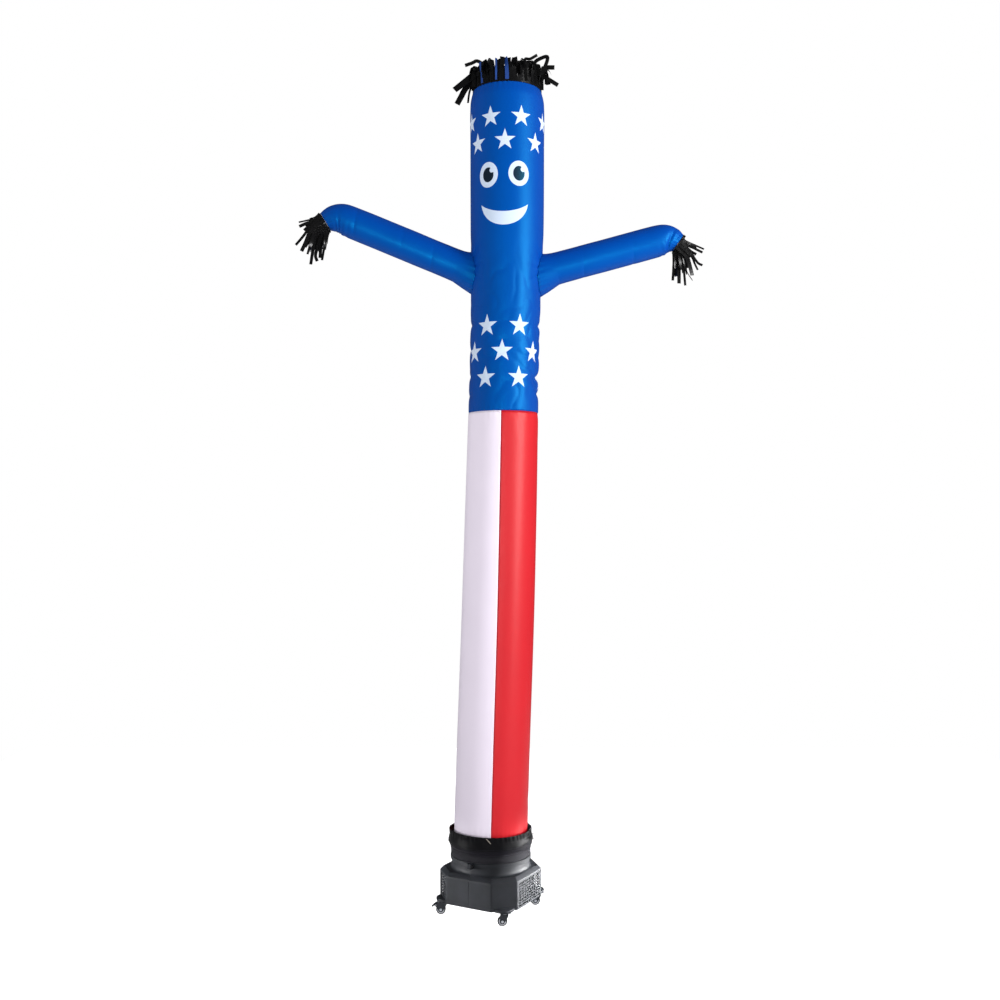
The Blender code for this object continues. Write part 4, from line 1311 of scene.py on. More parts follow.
@dataclass
class HandFringe:
    """Ribbons round an open hand, blown out in a fan and hanging."""

    arm: Arm
    fan: tuple[Ribbon, ...]  # in order round the hand
    band: float = 0.010
    depths: tuple[float, ...] = (0.05, 0.35, 0.65, 0.85, 1.0)  # 0 is the front of the hand and 1 its back
    seed: int = 11

    def swept(self, ribbon: Ribbon) -> list[Vector]:
        """The points of a ribbon of the fan, from its root on the front of the hand's opening.

        Args:
            ribbon: how it shows from in front.

        Returns:
            The points from root to tip.
        """
        middle, ahead = self.arm.axis_at(1.0)
        radius, up = self.arm.radii[-1][1], self.arm.up_at(ahead)
        first = Vector((ribbon.run[0][0], 0, ribbon.run[0][1])) / 1000
        aside = max(-0.97, min(0.97, (first - middle).dot(up) / radius))
        front = math.sqrt(1 - aside**2) * radius
        root = middle + up * (aside * radius) + ahead * 0.003 - Vector((0, front, 0))
        return [root] + [ribbon.at(k, -0.75 * front * (1 + 0.04 * k)) for k in range(len(ribbon.run))]

    def between(self, first: int, share: float, depth: float, chance: random.Random) -> list[Vector]:
        """A ribbon's run part of the way from one of the fan to the next, at its own depth.

        Args:
            first: which of the fan it follows.
            share: how far it lies towards the next.
            depth: how far back it lies, with 0 in front and 1 at the back of the hand.
            chance: where its own small differences come from.

        Returns:
            The points.
        """
        runs = []
        for ribbon in (self.fan[first], self.fan[first + 1]):
            points = self.swept(ribbon)
            track = Streamer(points, Vector(), 0.0)
            runs.append([track.at(part) for part in (0, 0.3, 0.6, 0.8, 1)])
        length = chance.uniform(0.42, 0.84)
        jitter = Vector([chance.uniform(-far, far) for far in (0.008, 0.006, 0.006)])
        made = []
        for k, (a, b) in enumerate(zip(*runs)):
            spot = a.lerp(b, share)
            spot.y *= 1 - 2 * depth
            made.append(made[0].lerp(spot, length) + jitter * (k / 4) if made else spot)
        return made

    def build(self) -> Object:
        """The sewn band and the fan of ribbons on all sides of it."""
        name, sign = self.arm.side.name.lower(), self.arm.side.value
        chance = random.Random(self.seed + sign)
        middle, ahead = self.arm.axis_at(1.0)
        radius = self.arm.radii[-1][1] - 0.0006
        mesh = open_band(radius, self.band, 48)
        turn = Vector((0, 0, 1)).rotation_difference(ahead).to_matrix().to_4x4()
        moved(mesh, Matrix.Translation(middle + ahead * CLOTH_GAP) @ turn)
        for ribbon in self.fan:
            places = self.swept(ribbon)
            way = (places[1] - places[0]).normalized()
            front = Vector((0, -1, 0))
            width, twist = ribbon.width / 1000, chance.uniform(-0.3, 0.3)
            Streamer(places, way.cross(front), width, twist, front).draw(mesh)
        for first in range(len(self.fan) - 1):
            for depth in self.depths:
                places = self.between(first, chance.uniform(0.2, 0.8), depth, chance)
                way = (places[1] - places[0]).normalized()
                side = way.cross(Vector((0, -1, 0)))
                width, twist = chance.uniform(0.010, 0.015), chance.uniform(-1.2, 1.2)
                Streamer(places, side, width, twist).draw(mesh, 10)
        return fringe(f"hand_ribbons_{name}", mesh, RIBBON, [f"hand_fringe_{name}"])


@dataclass
class Cuff:
    """The black sleeve that joins the tube to the blower: hemmed at the top, turned in, snug below."""

    centre: float = -0.037
    cloth_radius: float = 0.16  # it is cut for this radius
    # height and radius along the sleeve, from its hem up, over the top and down to the tube's hem
    sleeve: Profile = field(default_factory=lambda: [
        (0.2772, 0.1668), (0.2890, 0.1664), (0.2970, 0.1648), (0.3100, 0.1620), (0.3272, 0.1610),
        (0.3288, 0.1603), (0.3274, 0.1594), (0.3180, 0.1560), (0.3108, 0.1490),
    ])
    lining: Profile = field(default_factory=lambda: [
        (0.2530, 0.1596), (0.2640, 0.1602), (0.2700, 0.1638), (0.2760, 0.1641), (0.2900, 0.1641),
    ])
    lift: Triple = (0.018, -22.0, 16.0)  # the hem rides up: by how much, where, how wide
    hem_reach: float = 0.030  # how far up the hem's waves go
    top: Pair = (0.328, 0.018)  # height and reach of the gathers at the top
    gather: float = 0.0034
    hem_wave: float = 0.0012
    hem_rise: float = 0.0010
    top_wave: float = 0.0011
    columns: int = 320
    steps: int = 40
    nylon: float = 0.0011
    seed: int = 5
    folds: list[Triple] = field(default_factory=list)

    def __post_init__(self) -> None:
        """Picks the uneven folds once."""
        chance = random.Random(self.seed)
        place = 0.0
        while place < FULL_TURN:
            self.folds.append((place, chance.uniform(0.4, 1.0), chance.uniform(0.020, 0.045)))
            place += chance.uniform(0.06, 0.15)

    def fold(self, a: float) -> float:
        """The gathers' height at an angle, from 0 in a valley to 1 on a crest."""
        return max(
            size * fade((a - place + math.pi) % FULL_TURN - math.pi, wide) for place, size, wide in self.folds
        )

    def run(self, profile: Profile, v: float) -> Pair:
        """The height and radius that lie v metres along a profile."""
        for (z0, r0), (z1, r1) in zip(profile, profile[1:]):
            length = math.hypot(z1 - z0, r1 - r0)
            if v <= length or (z1, r1) == profile[-1]:
                t = min(v / length, 1.0)
                return z0 + (z1 - z0) * t, r0 + (r1 - r0) * t
            v -= length
        return profile[-1]

    def band(self, name: str, profile: Profile, gathered: float, rests_on: str, nodes: list[str]) -> Object:
        """Rolls one band of cloth up along a profile.

        Args:
            name: the piece's name.
            profile: heights and radii from its first edge to its last.
            gathered: how strongly it is puckered.
            rests_on: the piece that carries it; it is not used.
            nodes: the frame's nodes that it takes the place of.

        Returns:
            The band.
        """
        height = sum(math.hypot(b[0] - a[0], b[1] - a[1]) for a, b in zip(profile, profile[1:]))
        width = FULL_TURN * self.cloth_radius
        sheet = flat_sheet(width, height, self.columns, self.steps)
        Body().mark_seams(sheet, [("v", 0.0), ("v", height)])
        size, facing, wide = self.lift

        def surface(u: float, v: float) -> Vector:
            """Puckers under the top edge and waves along the hem."""
            a = u / self.cloth_radius
            z, r = self.run(profile, v)
            hem = max(0.0, 1 - v / self.hem_reach)
            raised = size * fade(apart(math.degrees(a), facing), wide) * hem * gathered
            grain = noise.noise(Vector((4 * math.cos(a), 4 * math.sin(a), 30 * z)))
            top = fade(z - self.top[0], self.top[1]) * gathered
            crest = self.fold(a + 0.8 * (z - 0.30))
            r += self.gather * (crest - 0.3) * top + 0.0009 * grain
            r += self.hem_wave * gathered * hem * math.sin(7 * a + 1.2) ** 2
            r += self.gather * top * fade(a - math.pi, 0.35)
            z += raised + (self.top_wave * math.sin(3 * a + 2) + 0.0007 * (crest - 0.4)) * top
            z += self.hem_rise * gathered * hem * math.sin(4 * a + 0.5)
            return Vector((self.centre + r * math.cos(a), r * math.sin(a), z))

        shape_sheet(sheet, surface)
        made = piece(name, sheet, CUFF_BLACK if gathered else LINING, stands_for=nodes, sharp=80)
        thicken(made, self.nylon, 1.0)
        return made

    def build(self) -> None:
        """The sleeve, its snug lining band, and the two strap ends that stick out of them."""
        self.band("cuff_sleeve", self.sleeve, 1.0, "cuff_lining", ["base_cuff"])
        self.band("cuff_lining", self.lining, 0.0, "hook_tape", [])
        self.strap_end("strap_end_front", 0.004, [
            (-95.6, 0.3264, 0.1648), (-93.6, 0.3200, 0.1652),
            (-91.6, 0.3135, 0.1655), (-89.6, 0.3071, 0.1662),
        ])
        self.strap_end("strap_end_side", 0.010, [
            (0.0, 0.3016, 0.1665), (0.8, 0.2995, 0.1715), (1.0, 0.2930, 0.1744),
            (0.6, 0.2860, 0.1742), (-0.4, 0.2795, 0.1712),
        ])

    def strap_end(self, name: str, width: float, run: list[Triple]) -> Object:
        """A short end of narrow webbing that lies on the sleeve.

        Args:
            name: the piece's name.
            width: the webbing's width.
            run: facing, height and radius along its middle.

        Returns:
            The strap end.
        """
        places = [round_z(facing, r, z, self.centre) for facing, z, r in run]
        height = sum((b - a).length for a, b in zip(places, places[1:]))
        sheet = flat_sheet(width, height, 4, 16, 0.0, -width / 2)
        Body().mark_seams(sheet, [("u", -width / 2), ("u", width / 2)])
        track = Streamer(places, Vector((0, 0, 1)), width)
        middle = math.radians(run[0][0])
        aside = Vector((-math.sin(middle), math.cos(middle), 0))
        shape_sheet(sheet, lambda u, v: track.at(v / height) + aside * u)
        made = piece(name, sheet, WEBBING, sharp=80)
        thicken(made, 0.0009, 0.0)
        return made


# ---- the blower
@dataclass
class Blower:
    """The moulded housing in two like halves, its intake grilles, outlet, tape and guard."""

    centre: float = -0.037
    turn: float = -29.0
    half_across: float = 0.176
    long_side: float = 0.201
    corner_round: float = 0.009
    wall: float = 0.0018
    low: float = 0.0555
    wall_top: float = 0.164
    deck: float = 0.178
    collar_low: float = 0.211
    collar_top: float = 0.226
    rim_low: float = 0.2702
    rim_top: float = 0.292
    tape_seat: float = 0.1566
    duct: float = 0.1505
    slot_size: Pair = (0.0150, 0.0060)
    slot_pitch: Pair = (0.0200, 0.0105)
    slot_top: float = 0.1525
    slot_rows: int = 9
    slots_long: int = 9
    slots_corner: int = 4
    lobe: Triple = (0.044, 0.178, 0.012)  # radius, distance out, thickness
    lobe_low: float = 0.054
    swivel_out: float = 0.196
    guard_z: float = 0.2875
    guard_rings: int = 10
    guard_wire: float = 0.0013  # the wire's radius
    guard_inner: float = 0.032  # the radius of the smallest ring
    seam_gap: float = 0.0010
    duct_low: float = 0.072
    duct_top: float = 0.196
    ear_reach: float = 0.1745
    ear_low: float = 0.2045
    ear_top: float = 0.2257

    def place(self, extra: float = 0.0) -> Matrix:
        """From the blower's own axes, its seam face towards -Y, to the row frame."""
        return Matrix.Translation((self.centre, 0, 0)) @ turned(self.turn + extra)

    def finish(
        self, name: str, mesh: BMesh, finish: Finish, nodes: Iterable[str] = (), sharp: float = 28
    ) -> Object:
        """Takes a mesh from the blower's own axes to its place, and makes it a piece."""
        return piece(name, moved(mesh, self.place()), finish, stands_for=nodes, sharp=sharp)

    def swivel(self, quarter: float) -> Pair:
        """Where a caster's swivel stands, with the quarter turn that it is at."""
        spot = round_z(self.turn + quarter, self.swivel_out, 0.0, self.centre)
        return spot.x, spot.y

    def path(self) -> list[tuple[Vector, str]]:
        """The half outline from the front seam to the back one, as columns of the moulding.

        Returns:
            Each column's point, and the kind of strip that starts at it: "plain", "rib" or "slots".
        """
        half, side = self.half_across, self.long_side / 2
        turns = ((0, -half), (side, -half), (half, -side), (half, side), (side, half), (0, half))
        corners = [Vector(turn) for turn in turns]
        faces = ["plain", "plain", "long", "corner", "plain"]
        columns: list[tuple[Vector, str]] = []
        for k, kind in enumerate(faces):
            start, end = corners[k], corners[k + 1]
            way = (end - start).normalized()
            length = (end - start).length
            trim = self.corner_round * math.tan(math.radians(22.5))
            first = self.seam_gap / 2 if k == 0 else trim
            last = length - self.seam_gap / 2 if k == len(faces) - 1 else length - trim
            marks = [(first, "plain")]
            count = {"long": self.slots_long, "corner": self.slots_corner}.get(kind, 0)
            if count:
                run = count * self.slot_pitch[0] - (self.slot_pitch[0] - self.slot_size[0])
                begin = (length - run) / 2
                for n in range(count):
                    marks.append((begin + n * self.slot_pitch[0], "slots"))
                    marks.append((begin + n * self.slot_pitch[0] + self.slot_size[0], "rib"))
            else:
                beside = 0.0014  # a narrow strip beside the seam keeps the wide ones flat
                sixths = [first + (last - first) * n / 6 for n in range(1, 6)]
                marks += [(place, "plain") for place in (first + beside, *sixths, last - beside)]
            marks.append((last, "plain"))
            columns += [(start + way * at, kind_) for at, kind_ in marks]
            if k < len(faces) - 1:  # the rounded corner
                tangent = end - way * trim
                inward = Vector((-way.y, way.x))
                middle = tangent + inward * self.corner_round
                for n in range(1, 4):
                    a = math.radians(45) * n / 4
                    round_spot = middle - inward * self.corner_round * math.cos(a)
                    columns.append((round_spot + way * self.corner_round * math.sin(a), "plain"))
        return columns

    def levels(self) -> list[tuple[float, float, float | None, str]]:
        """The moulding's rows from its foot to its collar.

        Returns:
            Each row's height, inset of the outline, radius where it is round, and the kind of strip above it.
        """
        rows: list[tuple[float, float, float | None, str]] = [
            (self.low, 0.0, None, "plain"), (self.low + 0.002, 0.0, None, "plain"),
        ]
        for n in reversed(range(self.slot_rows)):
            top = self.slot_top - n * self.slot_pitch[1]
            rows.append((top - self.slot_size[1], 0.0, None, "slots"))
            rows.append((top, 0.0, None, "rib"))
        rows += [
            (self.wall_top - 0.004, 0.0, None, "plain"),
            (self.wall_top - 0.001, 0.0006, None, "plain"),
            (self.wall_top + 0.001, 0.0022, None, "plain"),
            (self.deck - 0.003, 0.0115, None, "plain"),
            (self.deck - 0.0006, 0.0145, None, "plain"),
        ]
        rows += [(z, 0.0, r, "plain") for r, z in self.neck_profile()]
        return rows

    def neck_profile(self) -> Profile:
        """The outer profile from the deck to the collar's top, as (radius, height)."""
        deck, low, top = self.deck, self.collar_low, self.collar_top
        return [
            (0.1622, deck), (0.1598, deck + 0.0012), (0.1576, deck + 0.0040), (0.1560, deck + 0.0085),
            (0.1550, deck + 0.0150), (0.1548, low - 0.001), (0.1556, low), (0.1592, low + 0.0003),
            (0.1600, low + 0.0012), (0.1600, top - 0.0012), (0.1592, top - 0.0002), (self.tape_seat, top),
        ]

    def moulding(self, name: str, half_turn: float, nodes: list[str]) -> Object:
        """One half of the housing, from the foot to the collar, with its slots cut through.

        Args:
            name: the piece's name.
            half_turn: 0, or 180 for the other half.
            nodes: the frame's nodes it stands for.

        Returns:
            The half.
        """
        columns, rows = self.path(), self.levels()
        across, up = len(columns) - 1, len(rows) - 1
        mesh = bmesh.new()
        bmesh.ops.create_grid(mesh, x_segments=across, y_segments=up, size=0.5)
        gone = []
        for face in mesh.faces:
            middle = face.calc_center_median()
            c, r = int((middle.x + 0.5) * across), int((middle.y + 0.5) * up)
            if columns[c][1] == "slots" and rows[r][3] == "slots":
                gone.append(face)
        bmesh.ops.delete(mesh, geom=gone, context="FACES")
        for vert in mesh.verts:
            column, row = round((vert.co.x + 0.5) * across), round((vert.co.y + 0.5) * up)
            point, (z, inset, radius, _) = columns[column][0], rows[row]
            if radius is None:
                spot = point * (1 - inset / self.half_across)
            else:
                spot = point.normalized() * radius
                if column in (0, across):
                    off = self.seam_gap / 2
                    spot = Vector((off, math.copysign(math.sqrt(radius**2 - off**2), point.y)))
            vert.co = Vector((spot.x, spot.y, z))
        moved(mesh, self.place(half_turn))
        made = piece(name, mesh, HOUSING_ABS, stands_for=nodes, sharp=28, tidy=False)
        thicken(made, self.wall)
        soften(made, 0.00035, 1)
        return made

    def outlet(self) -> Object:
        """The ring above the collar: the tape's seat, the rolled rim and the duct inside it."""
        start, end = self.collar_top + 0.0003, self.duct_top + 0.0002
        low, top = self.rim_low, self.rim_top
        profile = [
            (self.tape_seat, start), (self.tape_seat, low), (0.1612, low), (0.1628, low + 0.0010),
            (0.1634, low + 0.0030), (0.1634, top - 0.0050), (0.1622, top - 0.0018), (0.1598, top - 0.0002),
            (0.1560, top), (0.1528, top - 0.0006), (0.1510, top - 0.0026), (self.duct, top - 0.0060),
            (self.duct, end), (self.duct + 0.0008, end), (0.1535, start),
        ]
        return self.finish("outlet_rim", spun(profile, 128), HOUSING_ABS)

    def fan_duct(self) -> Object:
        """The black sleeve round the fan, which hides one grille from the other. The fan is not built, and
        the sleeve's black is painted shade that keeps the view in through the slots dark.
        """
        near, far = self.duct, self.duct + 0.0008
        profile = [(near, self.duct_low), (near, self.duct_top), (far, self.duct_top), (far, self.duct_low)]
        # the black is painted shade inside the housing, where the fan would stand
        return self.finish("fan_duct", spun(profile, 96), BLACK_NYLON)

    def tape(self) -> list[Object]:
        """The hook tape round the seat, and the staples at its overlap."""
        near, far = 0.1571, 0.1586
        low, high = self.collar_top + 0.0008, self.rim_low - 0.0006
        profile = [
            (near, low), (far - 0.0003, low), (far, low + 0.0004),
            (far, high - 0.0004), (far - 0.0003, high), (near, high),
        ]
        made = [self.finish("hook_tape_band", spun(profile, 160), HOOKS, ["hook_tape"], 50)]
        staples = []
        for z, facing in ((0.2345, 101.0), (0.2480, 101.0), (0.2547, 1.5), (0.2400, 181.5)):
            wire = block((-0.0050, -far - 0.0008, z - 0.0006), (0.0050, -far + 0.0002, z + 0.0006), 0.0003)
            staples.append(moved(wire, turned(facing)))
        return [*made, self.finish("tape_staples", joined(staples), ZINC, sharp=60)]

    def guard(self) -> Object:
        """The outlet guard: wire rings on radial wires, with a pressed disc in the middle."""
        wire, inner, parts = self.guard_wire, self.guard_inner, []
        reach = self.duct - 0.002
        for n in range(self.guard_rings):
            radius = inner + (reach - inner) * n / (self.guard_rings - 1)
            parts.append(spun(arc(radius, self.guard_z, wire, range(0, 360, 45)), 72))
        for n in range(6):
            spoke = bmesh.new()
            thick, start = wire * 1.2, 0.018
            bmesh.ops.create_cone(
                spoke, cap_ends=True, segments=10, radius1=thick, radius2=thick, depth=reach - start
            )
            out = Matrix.Translation(((reach + start) / 2, 0, self.guard_z - 2 * wire))
            parts.append(moved(spoke, turned(90, "Y"), out, turned(30 + 60 * n)))
        disc = [
            (0.0001, -0.002), (0.0240, -0.002), (0.0240, 0.0004), (0.0225, 0.0016),
            (0.0180, 0.0018), (0.0165, 0.0008), (0.0001, 0.0008),
        ]
        parts.append(spun([(r, self.guard_z + z) for r, z in disc], 48))
        return self.finish("outlet_guard_wires", joined(parts), BLACK_WIRE, ["outlet_guard"], 40)

    def lobes(self) -> Object:
        """The four rounded feet of the moulding, each over a caster."""
        radius, out, thick = self.lobe
        parts = []
        for degrees in (45, 135, 225, 315):
            foot = bmesh.new()
            bmesh.ops.create_cone(
                foot, cap_ends=True, segments=48, radius1=radius, radius2=radius, depth=thick
            )
            rounded(foot, [e for e in foot.edges if abs(e.verts[0].co.z - e.verts[1].co.z) < 1e-6], 0.0028)
            in_front = Matrix.Translation((0, -out, self.lobe_low + thick / 2))
            parts.append(moved(foot, in_front, turned(degrees)))
        return self.finish("caster_lobes", joined(parts), HOUSING_ABS)

    def clamps(self) -> list[Object]:
        """The ears beside the collar that hold the halves together, each with the knob of its screw."""
        lugs, screws = [], []
        for extra in (0.0, 180.0):
            turn = turned(extra)
            for low_x, high_x in ((-0.0095, -0.0004), (0.0004, 0.0095)):
                lug = block((low_x, -self.ear_reach, self.ear_low), (high_x, -0.1520, self.ear_top), 0.0014)
                lugs.append(moved(lug, turn))
            knob = [
                (0.0001, 0.0), (0.0066, 0.0), (0.0072, 0.0006), (0.0072, 0.0048), (0.0068, 0.0056),
                (0.0052, 0.0064), (0.0050, 0.0074), (0.0001, 0.0074),
            ]
            beside_lug = Matrix.Translation((0.0103, -0.1675, 0.2151))
            screws.append(moved(spun(knob, 40), turned(90, "Y"), beside_lug, turn))
        nodes = ["seam_screw_front", "seam_screw_back"]
        return [
            self.finish("seam_lugs", joined(lugs), HOUSING_ABS, sharp=40),
            self.finish("seam_screw_knobs", joined(screws), BLACK_NYLON, nodes, 40),
        ]

    def build(self) -> None:
        """Makes every piece of the blower and dresses its plain base plate."""
        self.moulding("housing_half_right", 0.0, ["housing_right"])
        self.moulding("housing_half_left", 180.0, ["housing_left"])
        self.outlet()
        self.fan_duct()
        self.tape()
        self.guard()
        self.lobes()
        self.clamps()
        dress_node("base_plate", HOUSING_ABS)


def dress_node(node: str, finish: Finish) -> None:
    """Gives one of the frame's own nodes a finish, where its plain shape is the real one."""
    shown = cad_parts[node]
    shown.data.materials.clear()
    shown.data.materials.append(finish.material())


# ---- casters
@dataclass
class Caster:
    """One swivel caster: pressed fork, wheel on its bolt, and the brake's rocker where it has one."""

    name: str
    pivot: Pair
    brake: bool
    trail: float = 0.008
    wheel_r: float = 0.019
    tyre_half: float = 0.0075
    core_r: float = 0.0142
    fork_inside: float = 0.0096
    fork_outside: float = 0.0116
    crown_low: float = 0.0465
    crown_top: float = 0.0509
    pin_from_axle: Pair = (-0.020, 0.0185)

    @property
    def at_axle(self) -> Matrix:
        """From the wheel's own axes to the row frame."""
        return Matrix.Translation((self.pivot[0] - self.trail, self.pivot[1], self.wheel_r))

    @property
    def at_pivot(self) -> Matrix:
        """From the swivel's axis on the floor to the row frame."""
        return Matrix.Translation((*self.pivot, 0))

    def fork(self) -> None:
        """Two rounded cheeks and a crown, pressed from one plate."""
        axle_x, boss = -self.trail, 0.0102
        foot = arc(axle_x, self.wheel_r, boss, range(196, 345, 12))
        back = [(-0.016, self.crown_top)]
        if self.brake:
            x, z = axle_x + self.pin_from_axle[0], self.wheel_r + self.pin_from_axle[1]
            back = [(-0.018, self.crown_top), (-0.0215, self.crown_top - 0.0035)]
            back += arc(x, z, 0.0052, range(110, 250, 14))
            back.append((x + 0.006, z - 0.012))
        outline = foot + [(0.0155, self.crown_low - 0.006), (0.0155, self.crown_top)] + back
        blank = outline_prism(outline, -self.fork_outside, self.fork_outside)
        under = [
            (-0.08, -0.05), (0.08, -0.05), (0.08, self.crown_low),
            (-0.017, self.crown_low), (-0.017, 0.06), (-0.08, 0.06),
        ]
        hollow = outline_prism(under, -self.fork_inside, self.fork_inside)
        mesh = moved(carved(blank, hollow), self.at_pivot)
        body, node = f"fork_{self.name}", f"caster_fork_{self.name}"
        made = piece(body, mesh, DARK_STEEL, body, [node], sharp=30)
        soften(made, 0.0006)

    def bearing(self) -> None:
        """The swivel's dished race between the plate and the crown, and the plate's finish."""
        race = [
            (0.0001, 0.0508), (0.0135, 0.0508), (0.0150, 0.0497),
            (0.0150, 0.0482), (0.0140, 0.0475), (0.0001, 0.0475),
        ]
        mesh = moved(spun(race, 40), self.at_pivot)
        piece(f"swivel_race_{self.name}", mesh, ZINC, f"fork_{self.name}", sharp=30)
        dress_node(f"caster_plate_{self.name}", DARK_STEEL)

    def bolt(self) -> None:
        """The axle bolt with its washer and hexagon head on both sides."""
        head = self.fork_outside + 0.0003
        parts = []
        for sign in (-1, 1):
            washer = [(0.0001, 0.0), (0.0050, 0.0), (0.0050, 0.0006), (0.0047, 0.0008), (0.0001, 0.0008)]
            nut, size = bmesh.new(), 0.0042
            bmesh.ops.create_cone(
                nut, cap_ends=True, segments=6, radius1=size, radius2=size, depth=0.0026
            )
            rounded(nut, [e for e in nut.edges if min(v.co.z for v in e.verts) > 0.001], 0.0006, 2)
            moved(nut, turned(-90, "X"), Matrix.Translation((0, 0.0020, 0)))
            for mesh in (spun(washer, 32, "Y"), nut):
                mirror = Matrix.Diagonal((1, sign, 1, 1))
                parts.append(moved(mesh, Matrix.Translation((0, head - 0.0004, 0)), mirror))
        parts.append(spun([(0.0001, -head), (0.003, -head), (0.003, head), (0.0001, head)], 20, "Y"))
        mesh = moved(joined(parts), self.at_axle)
        piece(f"bolt_{self.name}", mesh, ZINC, f"fork_{self.name}", [f"axle_bolt_{self.name}"], sharp=30)

    def wheel(self) -> None:
        """A rounded rubber tyre on a pale core with a dished web and a hub."""
        r, half, inner = self.wheel_r, self.tyre_half, self.core_r + 0.0002
        curve = 0.0032
        shoulder = arc(r - curve, half - curve, curve, range(0, 91, 15))
        profile = [(inner, -half + 0.0004)] + [(a, -b) for a, b in reversed(shoulder)]
        profile += [(r, -0.0006), (r - 0.0004, 0.0), (r, 0.0006)] + shoulder + [(inner, half - 0.0004)]
        tyre = spun(profile, 72, "Y")
        web = half - 0.0026
        side = [
            (0.0033, 0.0092), (0.0056, 0.0092), (0.0062, 0.0086), (0.0064, web), (0.0112, web),
            (0.0118, half - 0.0006), (self.core_r, half - 0.0006),
        ]
        core = spun([(a, -b) for a, b in side] + side[::-1], 60, "Y")
        for mesh, label, finish, node in (
            (tyre, "tyre_rubber", TYRE_RUBBER, "tyre"), (core, "wheel_web", PALE_CORE, "wheel_core"),
        ):
            moved(mesh, self.at_axle)
            wheel, nodes = f"wheel_{self.name}", [f"{node}_{self.name}"]
            piece(f"{label}_{self.name}", mesh, finish, wheel, nodes, sharp=35)

    def rocker(self) -> None:
        """The brake's rocker, and the rivet heads that carry it."""
        outline = [
            (0.0040, 0.0000), (0.0038, 0.0020), (0.0028, 0.0036), (0.0012, 0.0044), (-0.0005, 0.0046),
            (-0.0034, 0.0042), (-0.0060, 0.0030), (-0.0092, 0.0006), (-0.0124, -0.0028), (-0.0170, -0.0070),
            (-0.0172, -0.0080), (-0.0162, -0.0088), (-0.0110, -0.0056), (-0.0060, -0.0022),
            (-0.0046, -0.0026), (-0.0030, -0.0040), (0.0004, -0.0076), (0.0012, -0.0078), (0.0020, -0.0074),
        ]
        x, z = -self.trail + self.pin_from_axle[0], self.wheel_r + self.pin_from_axle[1]
        at_pin = self.at_pivot @ Matrix.Translation((x, 0, z))
        half = self.fork_inside - 0.0003
        mesh = moved(outline_prism(outline, -half, half), at_pin)
        body, nodes = f"brake_{self.name}", [f"brake_lever_{self.name}"]
        made = piece(f"rocker_{self.name}", mesh, BLACK_NYLON, body, nodes, sharp=30)
        soften(made, 0.0005)
        rivets = []
        for sign in (-1, 1):
            dome = [(0.0001, 0.0), (0.0026, 0.0), (0.0024, 0.0007), (0.0016, 0.0012), (0.0001, 0.0014)]
            outside = Matrix.Translation((0, self.fork_outside - 0.0001, 0))
            rivets.append(moved(spun(dome, 20, "Y"), outside, Matrix.Diagonal((1, sign, 1, 1))))
        mesh = moved(joined(rivets), at_pin)
        piece(f"rocker_rivets_{self.name}", mesh, ZINC, f"fork_{self.name}", sharp=30)

    def build(self) -> None:
        """Makes the whole caster."""
        self.fork()
        self.bearing()
        self.bolt()
        self.wheel()
        if self.brake:
            self.rocker()


# ---- the hands' ribbons
LEFT_FAN = (
    Ribbon(7.0, ((-748, 2761), (-778, 2753), (-805, 2747))),
    Ribbon(14.0, ((-751, 2751), (-778, 2741), (-803, 2730))),
    Ribbon(11.5, ((-760, 2727), (-788, 2690), (-817, 2656))),
    Ribbon(16.0, ((-757, 2711), (-778, 2665), (-794, 2631))),
    Ribbon(10.5, ((-748, 2696), (-763, 2644), (-770, 2619))),
    Ribbon(14.0, ((-732, 2696), (-748, 2635), (-757, 2578))),
    Ribbon(14.0, ((-717, 2696), (-732, 2641), (-738, 2613), (-731, 2591))),
    Ribbon(14.0, ((-705, 2702), (-717, 2641), (-720, 2604))),
    Ribbon(10.5, ((-686, 2718), (-698, 2675), (-705, 2635), (-712, 2595))),
)
RIGHT_FAN = (
    Ribbon(7.5, ((742, 2671), (778, 2656), (816, 2639))),
    Ribbon(10.5, ((745, 2660), (778, 2642), (810, 2626))),
    Ribbon(10.5, ((756, 2634), (778, 2602), (793, 2583), (810, 2575))),
    Ribbon(9.0, ((764, 2612), (778, 2583), (791, 2556))),
    Ribbon(17.5, ((745, 2612), (760, 2569), (769, 2534))),
    Ribbon(10.5, ((731, 2612), (735, 2562), (741, 2494))),
    Ribbon(16.0, ((716, 2612), (716, 2562), (716, 2502))),
    Ribbon(11.5, ((694, 2627), (695, 2580), (691, 2514))),
    Ribbon(3.5, ((740, 2580), (749, 2547), (770, 2514))),
)


